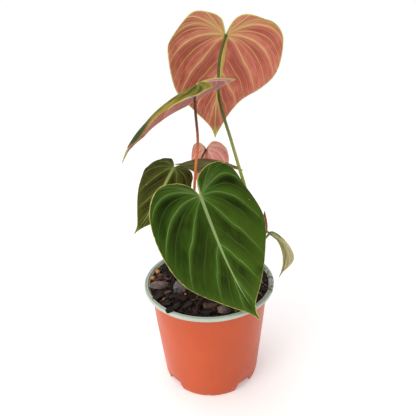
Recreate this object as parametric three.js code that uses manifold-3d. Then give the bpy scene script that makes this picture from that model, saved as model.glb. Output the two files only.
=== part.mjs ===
// A potted climbing philodendron: a thin plastic nursery pot, its potting mix, two short stems,
// seven petioles and seven heart-shaped blades. Millimetres, +Z up, origin under the middle of the
// pot on the surface that its feet stand on. The viewer of the plant's front looks along +Y.
import * as THREE from "three";
import { mergeGeometries, mergeVertices } from "three/addons/utils/BufferGeometryUtils.js";
import Module from "manifold-3d";

const wasm = await Module();
wasm.setup();

// Clearance between pieces that touch on the real plant
const GAP = 0.3;

// Pot
const POT_HEIGHT = 100;
const RIM_RADIUS = 60;
const RIM_DEPTH = 3.2;
const RIM_INNER_RADIUS = 56.5;
const RIM_SLOPE_FOOT = 96.9;
const WALL_TOP_RADIUS = 54.8;
const WALL_BASE_RADIUS = 46.2;
const WALL = 1.4;
const CREASE_HEIGHT = 91;
const CREASE_STEP = 0.45;
const FOOT_INNER_RADIUS = 42;
const FLOOR_UNDERSIDE = 9;
const FLOOR_TOP = 10.5;
const FLOOR_CORNER = 3.5;
const POT_SIDES = 56;
const DRAIN_GAPS = 4;
const DRAIN_GAP_AZIMUTH = 40.5;
const DRAIN_GAP_WIDTH = 21;
const DRAIN_GAP_TAPER = 3.4;
const DRAIN_GAP_HEIGHT = 8;
const DRAIN_HOLE_RADIUS = 3.5;
const DRAIN_HOLE_RING = 27;
const FOOT_NOTCH_WIDTH = 4;
const FOOT_NOTCH_HEIGHT = 1.2;

// Potting mix
const MIX_EDGE_HEIGHT = 98.1;
const MIX_EDGE_RADIUS = 54.8;
const MIX_DOME = 0.6;
const MIX_SIDES = 40;
const MIX_RINGS = 9;
const MIX_LUMP = 0.6;
const HOLE_SLACK = 0.35;

// Blades
const BLADE = 0.9;
const MIDRIB = 0.9;
const VEIN_LEAVES_MIDRIB_AT = 0.68;
const VEIN_SPREAD = 0.8;
const VEIN_REACH = 0.74;
const VEIN_ARCH = 0.3;
const LOBE_DEPTH = 0.19;
const WAVES_PER_HALF = 3.5;
// Places of the main veins along a half's margin, from the notch at the petiole to the tip
const VEINS = [0.22, 0.33, 0.44, 0.52, 0.61, 0.7, 0.79, 0.88];
// Fractions of the way from the midrib to the margin where the blade is sampled
const ACROSS = [0, 0.06, 0.3, 0.55, 0.8, 1];

// Stems and petioles
const TUBE_SIDES = 8;

// Half outlines of a blade, from the notch to the tip: distance from the midrib in half-widths,
// distance along the midrib in blade lengths, with the lobe reaching back past the notch.
const HEART = [[0, 0], [0.1, -0.09], [0.32, -0.19], [0.66, -0.16], [0.93, 0], [0.97, 0.26],
  [0.77, 0.52], [0.42, 0.74], [0.1, 0.9], [0, 1]];
const HEART_LONG_TIP = [[0, 0], [0.1, -0.09], [0.32, -0.19], [0.66, -0.16], [0.93, 0], [0.97, 0.26],
  [0.77, 0.52], [0.4, 0.73], [0.07, 0.84], [0, 1]];
const BACK_LEFT_HALF = [[0, 0], [0.11, -0.12], [0.31, -0.18], [0.66, -0.14], [0.93, -0.03], [0.97, 0.27],
  [0.77, 0.5], [0.42, 0.68], [0.11, 0.91], [0, 1]];
const BACK_RIGHT_HALF = [[0, 0], [0.09, -0.13], [0.32, -0.18], [0.63, -0.16], [0.94, 0.05], [0.97, 0.23],
  [0.79, 0.55], [0.42, 0.74], [0.1, 0.89], [0, 1]];
const FRONT_LEFT_HALF = [[0, 0], [0.11, -0.08], [0.33, -0.14], [0.66, -0.14], [0.92, 0.01], [0.95, 0.27],
  [0.81, 0.52], [0.42, 0.74], [0.11, 0.9], [0, 1]];
const FRONT_RIGHT_HALF = [[0, 0], [0.05, -0.12], [0.33, -0.19], [0.67, -0.17], [0.91, -0.03], [1, 0.29],
  [0.76, 0.52], [0.42, 0.73], [0.08, 0.88], [0, 1]];
const HEART_SHALLOW = [[0, 0], [0.1, -0.01], [0.32, -0.02], [0.66, 0.02], [0.93, 0.11], [0.97, 0.29],
  [0.77, 0.52], [0.42, 0.74], [0.1, 0.9], [0, 1]];
const PINK_RIGHT_HALF = [[0, 0], [0.1, -0.06], [0.34, -0.13], [0.7, -0.13], [0.96, 0], [0.98, 0.26],
  [0.78, 0.52], [0.42, 0.74], [0.1, 0.9], [0, 1]];

// Each blade: its midrib from junction to tip with the two handles of its bend, which way its upper
// face looks at either end (degrees: compass angle from the viewer towards +X, then elevation), and
// its two halves. quilt is how far it domes up between veins, wave how far its margin ripples (mm).
// A half has a width, its fold up from the flat at the junction and at the tip, its
// curl from midrib to margin (degrees, negative droops) and how far its lobe lifts.
const LEAVES = [
  {
    name: "leaf_back_red", colour: 0xb9604f, quilt: 0.9, wave: 1.3,
    midrib: [[20, 39.5, 308.5], [17, 43.5, 280], [9, 50.5, 254.5], [10, 56, 218.5]],
    faces: [[-172, 10], [-170, 0]],
    left: { outline: BACK_LEFT_HALF, width: 52.5, fold: [12, 21], curl: -28, lift: 0.7 },
    right: { outline: BACK_RIGHT_HALF, width: 48, fold: [2, 11], curl: -13, lift: 0.7 },
    petiole: {
      name: "petiole_back", colour: 0x6f7f35, radii: [2.4, 1.8, 1.5, 1.45, 1.4, 1.3], steps: 20,
      path: [[35.1, -0.4, 139.6], [34.3, 0.1, 141.8], [35.2, 1, 154], [35.6, 2.5, 170], [34.2, 4, 184.4],
        [28.1, 10.2, 206.7], [22.4, 13.3, 226.8], [16.9, 16.6, 245.3], [12.9, 21.4, 262.5],
        [13, 26, 279.3], [15, 31, 294]],
    },
  },
  {
    name: "leaf_front_green", colour: 0x3a5a26, quilt: 1.2, wave: 0.6,
    midrib: [[-4.5, -28, 194], [8, -42, 160], [18.5, -50, 128.5], [42, -60, 96.5]],
    faces: [[9, 43], [-6, 9]],
    left: { outline: FRONT_LEFT_HALF, width: 47.5, fold: [10, 9], curl: -10, lift: -0.8 },
    right: { outline: FRONT_RIGHT_HALF, width: 45, fold: [-1, 14], curl: -30, lift: -0.8 },
    petiole: {
      name: "petiole_front", colour: 0x66733a, radii: [2.2, 1.8], steps: 12,
      path: [[-5.9, -4.6, 108.2], [-4.9, -6.8, 109.2], [-4.2, -9, 118], [-3, -15, 148], [-3.4, -21, 176]],
    },
  },
  {
    name: "leaf_folded", colour: 0x4f5c2a, quilt: 1, wave: 0.8,
    midrib: [[-4.5, -20.5, 277.5], [-36.5, -2, 262], [-54, -4, 242], [-70.5, 8, 211]],
    faces: [[18, 81], [18, 83]],
    left: { outline: HEART_LONG_TIP, width: 43, fold: [-5, -14], curl: -24, lift: -3.8 },
    right: { outline: HEART_LONG_TIP, width: 38.5, fold: [-2, -2], curl: -10, lift: -4.2 },
    petiole: {
      name: "petiole_folded", colour: 0x9a4a2a, radii: [1.7, 1.4, 1.25, 1.2, 1.15], steps: 18,
      path: [[-9.9, -3.9, 121.8], [-10.6, -6.5, 158], [-9.7, -9, 192], [-7.2, -11.2, 216],
        [-5.2, -13.8, 235], [-6, -17, 257], [-6, -19, 269]],
    },
  },
  {
    name: "leaf_left_olive", colour: 0x45431a, quilt: 0.8, wave: 0.5,
    midrib: [[-26, -1, 209], [-32, -15.5, 204], [-42.5, -18.5, 179], [-60, -29, 162.5]],
    faces: [[-8, 31], [-22, 15]],
    left: { outline: HEART, width: 27, fold: [-3, 12], curl: -37, lift: -0.9 },
    right: { outline: HEART, width: 21.5, fold: [-7, 11], curl: -50, lift: -6 },
    petiole: {
      name: "petiole_left", colour: 0x5d5a2e, radii: [1.6, 1.2], steps: 12,
      path: [[-11, 2.6, 106.5], [-12.5, 3.8, 107.6], [-16.5, 6, 118], [-23, 8, 150], [-26, 5.5, 188],
        [-26, 2.5, 202]],
    },
  },
  {
    name: "leaf_middle_dark", colour: 0x37401f, quilt: 0.5, wave: 0.4,
    midrib: [[20.5, 12, 203.5], [5.5, 18, 207.5], [-9.5, 22, 204.5], [-28, 27, 203]],
    faces: [[1, 81], [0, 73]],
    left: { outline: HEART, width: 22, fold: [-16, -2], curl: -16, lift: -0.7 },
    right: { outline: HEART, width: 18, fold: [-2, 2], curl: -10, lift: 0 },
    petiole: {
      name: "petiole_middle", colour: 0x4c4a2a, radii: [1.5, 1.1], steps: 12,
      path: [[18.4, 7.3, 114.5], [17.6, 9.4, 117.3], [17, 11.4, 128], [18.5, 13, 160], [20.3, 12.6, 190]],
    },
  },
  {
    name: "leaf_small_pink", colour: 0xd98b85, quilt: 0.5, wave: 0.5,
    midrib: [[1, 44, 211.5], [1, 48, 195.5], [-2, 48.5, 178.5], [-3.5, 51, 162]],
    faces: [[174, 12], [-179, 0]],
    left: { outline: HEART, width: 23, fold: [-2, 9], curl: -30, lift: -0.7 },
    right: { outline: PINK_RIGHT_HALF, width: 14, fold: [2, 8], curl: -32, lift: -1 },
    petiole: {
      name: "petiole_pink", colour: 0x5a3b2c, radii: [1.2, 0.8], steps: 14,
      path: [[11, 7.5, 101], [10, 9.4, 102.6], [6, 16, 116], [-1.5, 33, 150], [-4.6, 41, 186],
        [-3.4, 41.4, 203.5]],
    },
  },
  {
    name: "leaf_hanging_pale", colour: 0xaba888, quilt: 0.5, wave: 0.4,
    midrib: [[52, -20, 155.5], [67, -19, 143], [73, -13.5, 131.5], [62, -16, 108]],
    faces: [[111, 19], [108, -11]],
    left: { outline: HEART_SHALLOW, width: 15, fold: [14, 12], curl: -13, lift: 0 },
    right: { outline: HEART_SHALLOW, width: 14, fold: [10, 12], curl: -23, lift: 0 },
    petiole: {
      name: "petiole_hanging", colour: 0x7d8250, radii: [1.2, 0.9], steps: 6,
      path: [[40.1, -5.8, 135.6], [40.9, -8.6, 135.6], [44.5, -14.8, 140.5], [47.8, -19.4, 149]],
    },
  },
];

const STEMS = [
  {
    name: "stem_main", colour: 0x6b6a35, radii: [4.6, 3.4], steps: 14,
    path: [[12, 3, 80], [12.3, 3, 98], [20, 3, 112], [33, 0, 130], [43, -3, 141], [48.2, -5, 146.8]],
  },
  {
    name: "stem_short", colour: 0x6b6a35, radii: [4.2, 3], steps: 8,
    path: [[-7, 1, 80], [-7, 1, 100], [-8, -1.2, 112], [-9.6, -3.3, 121.2]],
  },
];

// The young leaf's red sheath stands on the main stem: its own swelling is in the radii.
const SHEATH = {
  name: "sheath_red", colour: 0x9e2a26, steps: 6,
  path: [[49.1, -5.1, 147.8], [49.7, -5, 149.9], [49.7, -4.8, 158.5], [49.7, -5, 169]],
  radii: [2.4, 2.9, 2.9, 2.6, 1.9, 1.1, 0.3],
};

// Loose pieces pressed into the mix: centre in plan, size, turn about the vertical, how deep it sits
// and how far its flats stand out from the middle, smaller for a sharper stone
const PEBBLES = [
  {
    name: "pebble_brown", colour: 0x6e6059, at: [-45.6, -9], size: [18, 11, 8],
    turn: 5, sunk: 0.3, seed: 3, flats: 0.72,
  },
  {
    name: "pebble_angular", colour: 0x77797c, at: [-27.7, -14.5], size: [17, 13, 12],
    turn: -20, sunk: 0.35, seed: 8, flats: 0.5,
  },
  {
    name: "pebble_round", colour: 0x7c7069, at: [11.8, -47.3], size: [11.6, 9.4, 8.6],
    turn: 0, sunk: 0.4, seed: 5, flats: 0.72,
  },
  {
    name: "bark_stick", colour: 0x33261f, at: [-9.6, -41.4], size: [5.5, 22, 6],
    turn: -14, sunk: 0.45, seed: 11, flats: 0.72,
  },
];

const radians = THREE.MathUtils.degToRad;
const vec = (p) => new THREE.Vector3(p[0], p[1], p[2]);

function material(colour, roughness) {
  return new THREE.MeshStandardMaterial({ color: colour, roughness, metalness: 0 });
}

function seeded(seed) {
  let state = seed * 7919 + 17;
  return () => {
    state = (state * 48271) % 2147483647;
    return state / 2147483647;
  };
}

// Closed mesh from loose triangles: only positions, shared corners merged, collapsed faces dropped
function weld(geometry) {
  const bare = geometry.index ? geometry.toNonIndexed() : geometry.clone();
  bare.deleteAttribute("normal");
  bare.deleteAttribute("uv");
  const merged = mergeVertices(bare, 1e-3);
  const kept = [];
  const ids = merged.index.array;
  for (let i = 0; i < ids.length; i += 3) {
    const [a, b, c] = [ids[i], ids[i + 1], ids[i + 2]];
    if (a !== b && b !== c && c !== a) kept.push(a, b, c);
  }
  merged.setIndex(kept);
  return merged;
}

function toSolid(geometry) {
  const welded = weld(geometry);
  return new wasm.Manifold(new wasm.Mesh({
    numProp: 3,
    vertProperties: welded.attributes.position.array,
    triVerts: new Uint32Array(welded.index.array),
  }));
}

function fromSolid(solid) {
  const mesh = solid.getMesh();
  const geometry = new THREE.BufferGeometry();
  geometry.setAttribute("position", new THREE.Float32BufferAttribute(mesh.vertProperties, 3));
  geometry.setIndex([...mesh.triVerts]);
  return geometry;
}

function node(name, geometry, colour, roughness) {
  const mesh = new THREE.Mesh(geometry, material(colour, roughness));
  mesh.name = name;
  return mesh;
}

// Upper face direction from a compass angle and an elevation
function facing([compass, elevation]) {
  const a = radians(compass);
  const e = radians(elevation);
  return new THREE.Vector3(Math.cos(e) * Math.sin(a), -Math.cos(e) * Math.cos(a), Math.sin(e));
}

// One blade as a surface: place(side, s, t) runs s along a half's margin from notch to tip and
// t from the midrib out, so lines of equal s are the arching veins.
function bladeSurface(leaf) {
  const midrib = new THREE.CubicBezierCurve3(...leaf.midrib.map(vec));
  const length = midrib.getLength();
  const [faceStart, faceEnd] = leaf.faces.map(facing);
  const halves = { 1: leaf.right, "-1": leaf.left };
  const outlines = {};
  for (const side of [1, -1]) {
    outlines[side] = new THREE.SplineCurve(halves[side].outline.map(([x, y]) => new THREE.Vector2(x, y)));
  }

  function flat(side, s, t) {
    const margin = outlines[side].getPoint(s);
    const along = THREE.MathUtils.clamp((s - VEIN_LEAVES_MIDRIB_AT) / (1 - VEIN_LEAVES_MIDRIB_AT), 0, 1);
    const root = new THREE.Vector2(0, along ** VEIN_SPREAD);
    const arch = VEIN_ARCH * THREE.MathUtils.clamp((s - 0.2) / 0.3, 0, 1) * margin.distanceTo(root);
    const bend = root.clone().lerp(margin, VEIN_REACH);
    bend.y -= arch;
    return new THREE.QuadraticBezierCurve(root, bend, margin).getPoint(t);
  }

  function frameAt(y) {
    const u = THREE.MathUtils.clamp(y, 0, 1);
    const tangent = midrib.getTangent(u);
    const reference = faceStart.clone().lerp(faceEnd, u);
    const across = reference.cross(tangent).normalize();
    const up = tangent.clone().cross(across);
    return { u, tangent, across, up };
  }

  function middle(side, s, t) {
    const half = halves[side];
    const { x, y } = flat(side, s, t);
    const { u, tangent, across, up } = frameAt(y);
    const back = Math.min(y, 0);
    const curlHere = radians(half.curl) * x / 2;
    const bendLoss = Math.abs(curlHere) < 1e-6 ? 1 : Math.sin(curlHere) / curlHere;
    const reach = x * half.width * bendLoss;
    const angle = radians(THREE.MathUtils.lerp(half.fold[0], half.fold[1], u)) + curlHere;
    return midrib.getPoint(u)
      .addScaledVector(tangent, back * length)
      .addScaledVector(up, half.lift * (back / LOBE_DEPTH) ** 2)
      .addScaledVector(across, side * reach * Math.cos(angle))
      .addScaledVector(up, reach * Math.sin(angle));
  }

  function normal(side, s, t) {
    if (t < 0.01 || s < 0.01 || s > 0.99) return frameAt(flat(side, s, t).y).up;
    const step = 0.004;
    const alongMargin = middle(side, s + step, t).sub(middle(side, s - step, t));
    const outwards = middle(side, s, Math.min(t + step, 1)).sub(middle(side, s, t - step));
    return alongMargin.cross(outwards).multiplyScalar(side).normalize();
  }

  // The blade domes up between its main veins, and its margin waves
  function relief(side, s, t) {
    const stops = [0, ...VEINS, 1];
    const next = stops.findIndex((stop) => stop > s);
    if (next < 1) return 0;
    const between = (s - stops[next - 1]) / (stops[next] - stops[next - 1]);
    const dome = leaf.quilt * Math.sin(Math.PI * between) * Math.sin(Math.PI * Math.min(t * 0.9, 1));
    const phase = 2 * Math.PI * (WAVES_PER_HALF * s + 0.3 * side);
    const wave = leaf.wave * Math.sin(phase) * t ** 3 * Math.sin(Math.PI * s);
    return dome + wave;
  }

  function place(side, s, t, offset) {
    return middle(side, s, t).addScaledVector(normal(side, s, t), relief(side, s, t) + offset);
  }

  return { place, frameAt, length };
}

// Places along the margin: on each main vein and halfway between, closer round the notch
function marginStops() {
  const stops = [0, 0.055, 0.11, 0.165];
  VEINS.forEach((vein, i) => {
    const next = VEINS[i + 1] ?? 1;
    stops.push(vein, (vein + next) / 2);
  });
  return [...stops, 1];
}

function bentGrid(columns, rows, flip, point) {
  const grid = new THREE.PlaneGeometry(1, 1, columns, rows);
  const position = grid.attributes.position;
  for (let i = 0; i < position.count; i += 1) {
    const p = point(i % (columns + 1), Math.floor(i / (columns + 1)));
    position.setXYZ(i, p.x, p.y, p.z);
  }
  if (flip) grid.setIndex([...grid.index.array].reverse());
  return grid;
}

function bladeGeometry(leaf) {
  const surface = bladeSurface(leaf);
  const stops = marginStops();
  const columns = stops.length - 1;
  const rows = ACROSS.length - 1;
  const below = (t) => -BLADE / 2 - (t === 0 ? MIDRIB : 0);
  const sheets = [];
  for (const side of [1, -1]) {
    sheets.push(bentGrid(columns, rows, side > 0,
      (i, j) => surface.place(side, stops[i], ACROSS[j], BLADE / 2)));
    sheets.push(bentGrid(columns, rows, side < 0,
      (i, j) => surface.place(side, stops[i], ACROSS[j], below(tipless(stops[i], ACROSS[j])))));
    sheets.push(bentGrid(columns, 1, side > 0,
      (i, j) => surface.place(side, stops[i], 1, j === 0 ? BLADE / 2 : below(tipless(stops[i], 1)))));
  }
  return weld(mergeGeometries(sheets));
}

// The notch and the tip are single points, where every row of the grid takes the midrib's place
function tipless(s, t) {
  return s === 0 || s === 1 ? 0 : t;
}

// A round bar along a smooth path whose radius runs through the given values from end to end
function bar(path, radii, steps) {
  const curve = new THREE.CatmullRomCurve3(path.map(vec));
  const shape = new THREE.Shape();
  for (let i = 0; i < TUBE_SIDES; i += 1) {
    const a = (2 * Math.PI * i) / TUBE_SIDES;
    if (i === 0) shape.moveTo(1, 0);
    else shape.lineTo(Math.cos(a), Math.sin(a));
  }
  const geometry = new THREE.ExtrudeGeometry(shape, { steps, extrudePath: curve, bevelEnabled: false });
  const centres = curve.getSpacedPoints(steps);
  const position = geometry.attributes.position;
  const p = new THREE.Vector3();
  for (let i = 0; i < position.count; i += 1) {
    p.fromBufferAttribute(position, i);
    let nearest = 0;
    centres.forEach((centre, k) => {
      if (centre.distanceTo(p) < centres[nearest].distanceTo(p)) nearest = k;
    });
    const along = (nearest / steps) * (radii.length - 1);
    const before = Math.min(Math.floor(along), radii.length - 2);
    const radius = THREE.MathUtils.lerp(radii[before], radii[before + 1], along - before);
    p.sub(centres[nearest]).multiplyScalar(radius).add(centres[nearest]);
    position.setXYZ(i, p.x, p.y, p.z);
  }
  return weld(geometry);
}

// A petiole's path ends square under its blade's junction, a clearance below the midrib
function petiolePath(leaf) {
  const { up } = bladeSurface(leaf).frameAt(0);
  const junction = vec(leaf.midrib[0]);
  const radius = leaf.petiole.radii.at(-1);
  const last = vec(leaf.petiole.path.at(-1));
  const lean = junction.clone().sub(last).normalize().dot(up);
  const drop = BLADE / 2 + MIDRIB + 1.5 * GAP + radius * Math.sqrt(Math.max(0, 1 - lean * lean));
  const seat = junction.addScaledVector(up, -drop);
  return [...leaf.petiole.path, seat.toArray()];
}

function potProfile() {
  const rim = [[WALL_TOP_RADIUS, POT_HEIGHT - RIM_DEPTH], [RIM_RADIUS - 0.6, POT_HEIGHT - RIM_DEPTH],
    [RIM_RADIUS, POT_HEIGHT - RIM_DEPTH + 0.6], [RIM_RADIUS, POT_HEIGHT - 1.3],
    [RIM_RADIUS - 0.7, POT_HEIGHT - 0.3], [RIM_RADIUS - 1.8, POT_HEIGHT],
    [RIM_INNER_RADIUS + 0.7, POT_HEIGHT - 0.3], [RIM_INNER_RADIUS, POT_HEIGHT - 1.2]];
  const corner = FLOOR_TOP + FLOOR_CORNER;
  const inside = [[wallRadius(RIM_SLOPE_FOOT) - WALL, RIM_SLOPE_FOOT],
    [wallRadius(CREASE_HEIGHT + 1) - WALL, CREASE_HEIGHT + 1],
    [wallRadius(corner) - WALL, corner], [wallRadius(FLOOR_TOP + 1) - WALL - 1, FLOOR_TOP + 1],
    [WALL_BASE_RADIUS - 4, FLOOR_TOP], [0, FLOOR_TOP]];
  const foot = [[0, FLOOR_UNDERSIDE], [FOOT_INNER_RADIUS - 1.5, FLOOR_UNDERSIDE],
    [FOOT_INNER_RADIUS, FLOOR_UNDERSIDE - 1.5], [FOOT_INNER_RADIUS + 0.4, 0.6],
    [FOOT_INNER_RADIUS + 0.9, 0], [WALL_BASE_RADIUS - 2.2, 0], [WALL_BASE_RADIUS - 0.8, 0.6],
    [WALL_BASE_RADIUS - 0.1, 2]];
  const wall = [[wallRadius(4), 4], [wallRadius(CREASE_HEIGHT - 0.4) - CREASE_STEP, CREASE_HEIGHT - 0.4],
    [wallRadius(CREASE_HEIGHT + 0.4), CREASE_HEIGHT + 0.4]];
  return [...foot, ...wall, ...rim, ...inside, foot[0]].map(([r, z]) => new THREE.Vector2(r, z));
}

// Outer radius of the pot's wall at a height
function wallRadius(z) {
  return THREE.MathUtils.mapLinear(z, 4, POT_HEIGHT - RIM_DEPTH, WALL_BASE_RADIUS, WALL_TOP_RADIUS);
}

// LatheGeometry turns its profile about Y, so the turned shape is stood up
function turned(profile, sides) {
  return new THREE.LatheGeometry(profile, sides).rotateX(Math.PI / 2);
}

function outwards(geometry) {
  const solid = toSolid(geometry);
  if (solid.volume() > 0) return solid;
  const flipped = weld(geometry);
  flipped.setIndex([...flipped.index.array].reverse());
  return toSolid(flipped);
}

// A cutter through the foot ring, wider at the ground, pointing out along +X before it is turned
function footCutter(width, taper, height, azimuth) {
  const shape = new THREE.Shape();
  shape.moveTo(-width / 2, -1);
  shape.lineTo(width / 2, -1);
  shape.lineTo(width / 2 - taper, height);
  shape.lineTo(-width / 2 + taper, height);
  const depth = WALL_BASE_RADIUS - FOOT_INNER_RADIUS + 8;
  const geometry = new THREE.ExtrudeGeometry(shape, { depth, bevelEnabled: false });
  geometry.rotateX(Math.PI / 2).rotateZ(Math.PI / 2);
  geometry.translate(FOOT_INNER_RADIUS - 4, 0, 0).rotateZ(radians(azimuth));
  return outwards(geometry);
}

function makePot() {
  let pot = outwards(turned(potProfile(), POT_SIDES));
  for (let i = 0; i < DRAIN_GAPS; i += 1) {
    const azimuth = DRAIN_GAP_AZIMUTH + (360 / DRAIN_GAPS) * i;
    pot = pot.subtract(footCutter(DRAIN_GAP_WIDTH, DRAIN_GAP_TAPER, DRAIN_GAP_HEIGHT, azimuth));
    pot = pot.subtract(footCutter(FOOT_NOTCH_WIDTH, 1, FOOT_NOTCH_HEIGHT, azimuth + 45));
    const hole = new THREE.CylinderGeometry(DRAIN_HOLE_RADIUS, DRAIN_HOLE_RADIUS, 6, 12).rotateX(Math.PI / 2);
    hole.translate(DRAIN_HOLE_RING, 0, (FLOOR_TOP + FLOOR_UNDERSIDE) / 2).rotateZ(radians(azimuth));
    pot = pot.subtract(outwards(hole));
  }
  return node("pot", fromSolid(pot), 0xc95f3e, 0.45);
}

// Height of the mix above the pot's foot: almost level with the rim, with lumps
function mixHeight(x, y) {
  const r = Math.hypot(x, y) / WALL_TOP_RADIUS;
  const lumps = Math.sin(x * 0.31 + 1.3) * Math.cos(y * 0.27 - 0.6) + 0.6 * Math.sin(x * 0.13 - y * 0.57)
    + 0.5 * Math.cos(x * 0.62 + y * 0.36 + 2);
  return MIX_EDGE_HEIGHT + MIX_DOME * (1 - r * r) + MIX_LUMP * lumps * (1 - r ** 6);
}

function makeMix(cutters) {
  const floor = FLOOR_TOP + GAP;
  const side = (z) => wallRadius(z) - WALL - GAP - CREASE_STEP;
  const profile = [new THREE.Vector2(0, floor), new THREE.Vector2(WALL_BASE_RADIUS - 4 - GAP, floor),
    new THREE.Vector2(side(FLOOR_TOP + FLOOR_CORNER), FLOOR_TOP + FLOOR_CORNER + 0.5),
    new THREE.Vector2(side(RIM_SLOPE_FOOT), RIM_SLOPE_FOOT + 0.1)];
  for (let i = MIX_RINGS; i >= 0; i -= 1) {
    profile.push(new THREE.Vector2((MIX_EDGE_RADIUS * i) / MIX_RINGS, MIX_EDGE_HEIGHT));
  }
  profile.push(profile[0].clone());
  const geometry = turned(profile, MIX_SIDES);
  const position = geometry.attributes.position;
  for (let i = 0; i < position.count; i += 1) {
    const [x, y, z] = [position.getX(i), position.getY(i), position.getZ(i)];
    if (z > MIX_EDGE_HEIGHT - 1) position.setZ(i, mixHeight(x, y));
  }
  let mix = outwards(geometry);
  for (const cutter of cutters) mix = mix.subtract(cutter);
  return node("potting_mix", fromSolid(mix), 0x2e221b, 0.95);
}

// A worn stone or bark piece: a ball cut by seeded flats, stretched to size
function chunkGeometry({ at, size, turn, sunk, seed, flats }, slack) {
  const random = seeded(seed);
  const geometry = new THREE.IcosahedronGeometry(1, 2);
  const cuts = [];
  for (let i = 0; i < 9; i += 1) {
    const direction = new THREE.Vector3(random() - 0.5, random() - 0.5, random() - 0.5).normalize();
    cuts.push({ direction, depth: flats + 0.2 * random() });
  }
  const position = geometry.attributes.position;
  const p = new THREE.Vector3();
  for (let i = 0; i < position.count; i += 1) {
    p.fromBufferAttribute(position, i);
    for (const { direction, depth } of cuts) {
      const over = p.dot(direction) - depth;
      if (over > 0) p.addScaledVector(direction, -over * 0.85);
    }
    position.setXYZ(i, p.x, p.y, p.z);
  }
  geometry.scale(size[0] / 2 + slack, size[1] / 2 + slack, size[2] / 2 + slack).rotateZ(radians(turn));
  return geometry.translate(at[0], at[1], mixHeight(at[0], at[1]) + size[2] * (0.5 - sunk));
}

const plant = new THREE.Group();
plant.add(makePot());

const stems = STEMS.map(
  ({ name, colour, radii, path, steps }) => node(name, bar(path, radii, steps), colour, 0.6),
);
const holes = STEMS.map(({ radii, path, steps }) => {
  const [x, y, z] = path[0];
  const deeper = [[x, y, z - 1], ...path.slice(1)];
  return outwards(bar(deeper, radii.map((r) => r + HOLE_SLACK), steps));
});
const hollows = PEBBLES.map((pebble) => outwards(chunkGeometry(pebble, GAP)));
plant.add(makeMix([...holes, ...hollows]));
plant.add(...stems);

for (const pebble of PEBBLES) {
  plant.add(node(pebble.name, weld(chunkGeometry(pebble, 0)), pebble.colour, 0.85));
}

plant.add(node(SHEATH.name, bar(SHEATH.path, SHEATH.radii, SHEATH.steps), SHEATH.colour, 0.5));

for (const leaf of LEAVES) {
  const { name, colour, radii, steps } = leaf.petiole;
  plant.add(node(name, bar(petiolePath(leaf), radii, steps), colour, 0.5));
  plant.add(node(leaf.name, bladeGeometry(leaf), leaf.colour, 0.55));
}

export default plant;
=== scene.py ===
"""Looks of a young climbing philodendron in a plastic nursery pot, built around its packed solids.

Shapes are worked out in millimetres, in the frame of the packed model, and scaled to metres when a
piece is finished. The viewer of the plant's front looks along +Y.
"""

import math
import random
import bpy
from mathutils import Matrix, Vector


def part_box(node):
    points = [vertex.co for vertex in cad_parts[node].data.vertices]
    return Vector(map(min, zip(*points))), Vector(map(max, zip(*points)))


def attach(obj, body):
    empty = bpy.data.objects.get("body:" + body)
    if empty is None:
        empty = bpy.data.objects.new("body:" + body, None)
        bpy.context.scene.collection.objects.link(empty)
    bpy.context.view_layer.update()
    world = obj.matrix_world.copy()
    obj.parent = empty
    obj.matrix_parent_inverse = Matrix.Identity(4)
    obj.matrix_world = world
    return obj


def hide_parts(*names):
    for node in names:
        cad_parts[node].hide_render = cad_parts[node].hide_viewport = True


bl_info = {
    "name": "Potted Climbing Philodendron",
    "version": (1, 0, 0),
    "blender": (4, 5, 0),
    "location": "3D View > Sidebar > Plant",
    "description": "Builds a young philodendron with velvety heart leaves in a nursery pot",
    "category": "Add Mesh",
}

import bmesh
import bpy
import numpy as np
from bpy.props import FloatProperty, FloatVectorProperty, IntProperty, PointerProperty
from bpy.types import Operator, Panel, PropertyGroup
from mathutils import Matrix, Vector, noise
from mathutils.kdtree import KDTree

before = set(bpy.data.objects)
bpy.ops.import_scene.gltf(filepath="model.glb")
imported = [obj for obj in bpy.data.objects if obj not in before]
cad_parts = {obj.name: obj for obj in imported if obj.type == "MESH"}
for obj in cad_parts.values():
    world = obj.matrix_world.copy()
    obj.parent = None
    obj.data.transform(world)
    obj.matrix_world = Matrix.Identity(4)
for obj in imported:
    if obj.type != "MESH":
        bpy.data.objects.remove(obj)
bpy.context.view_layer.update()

MM = 0.001

# Pot, from its solid where that gives the size
POT_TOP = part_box("pot")[1]
POT_HEIGHT = POT_TOP.z / MM
RIM_RADIUS = POT_TOP.y / MM
RIM_DEPTH = 3.2
RIM_INNER_RADIUS = RIM_RADIUS - 3.5
RIM_CHANNEL_RADIUS = RIM_RADIUS - 2.1
RIM_SLOPE_FOOT = 96.9
WALL_TOP_RADIUS = 54.8
WALL_BASE_RADIUS = 46.2
WALL_BASE_HEIGHT = 4.0
WALL = 1.4
CREASE_HEIGHT = 91.0
CREASE_STEP = 0.45
FOOT_INNER_RADIUS = 42.0
FOOT_MARGIN = 1.5
FLOOR_UNDERSIDE = 9.0
FLOOR_TOP = 10.5
FLOOR_CORNER = 3.5
DRAIN_GAPS = 4
DRAIN_GAP_AZIMUTH = 40.5
DRAIN_GAP_HALF_WIDTH = 10.5
DRAIN_GAP_TAPER = 3.8
DRAIN_GAP_HEIGHT = 8.0
FOOT_NOTCH_HALF_WIDTH = 2.0
FOOT_NOTCH_TAPER = 0.8
FOOT_NOTCH_HEIGHT = 1.2
DRAIN_HOLE_RADIUS = 3.5
DRAIN_HOLE_RING = 27.0
DRAIN_HOLE_SIDES = 32
DRAIN_CUT_DEPTH = 6.0
FILLET_STEPS = 4

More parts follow.
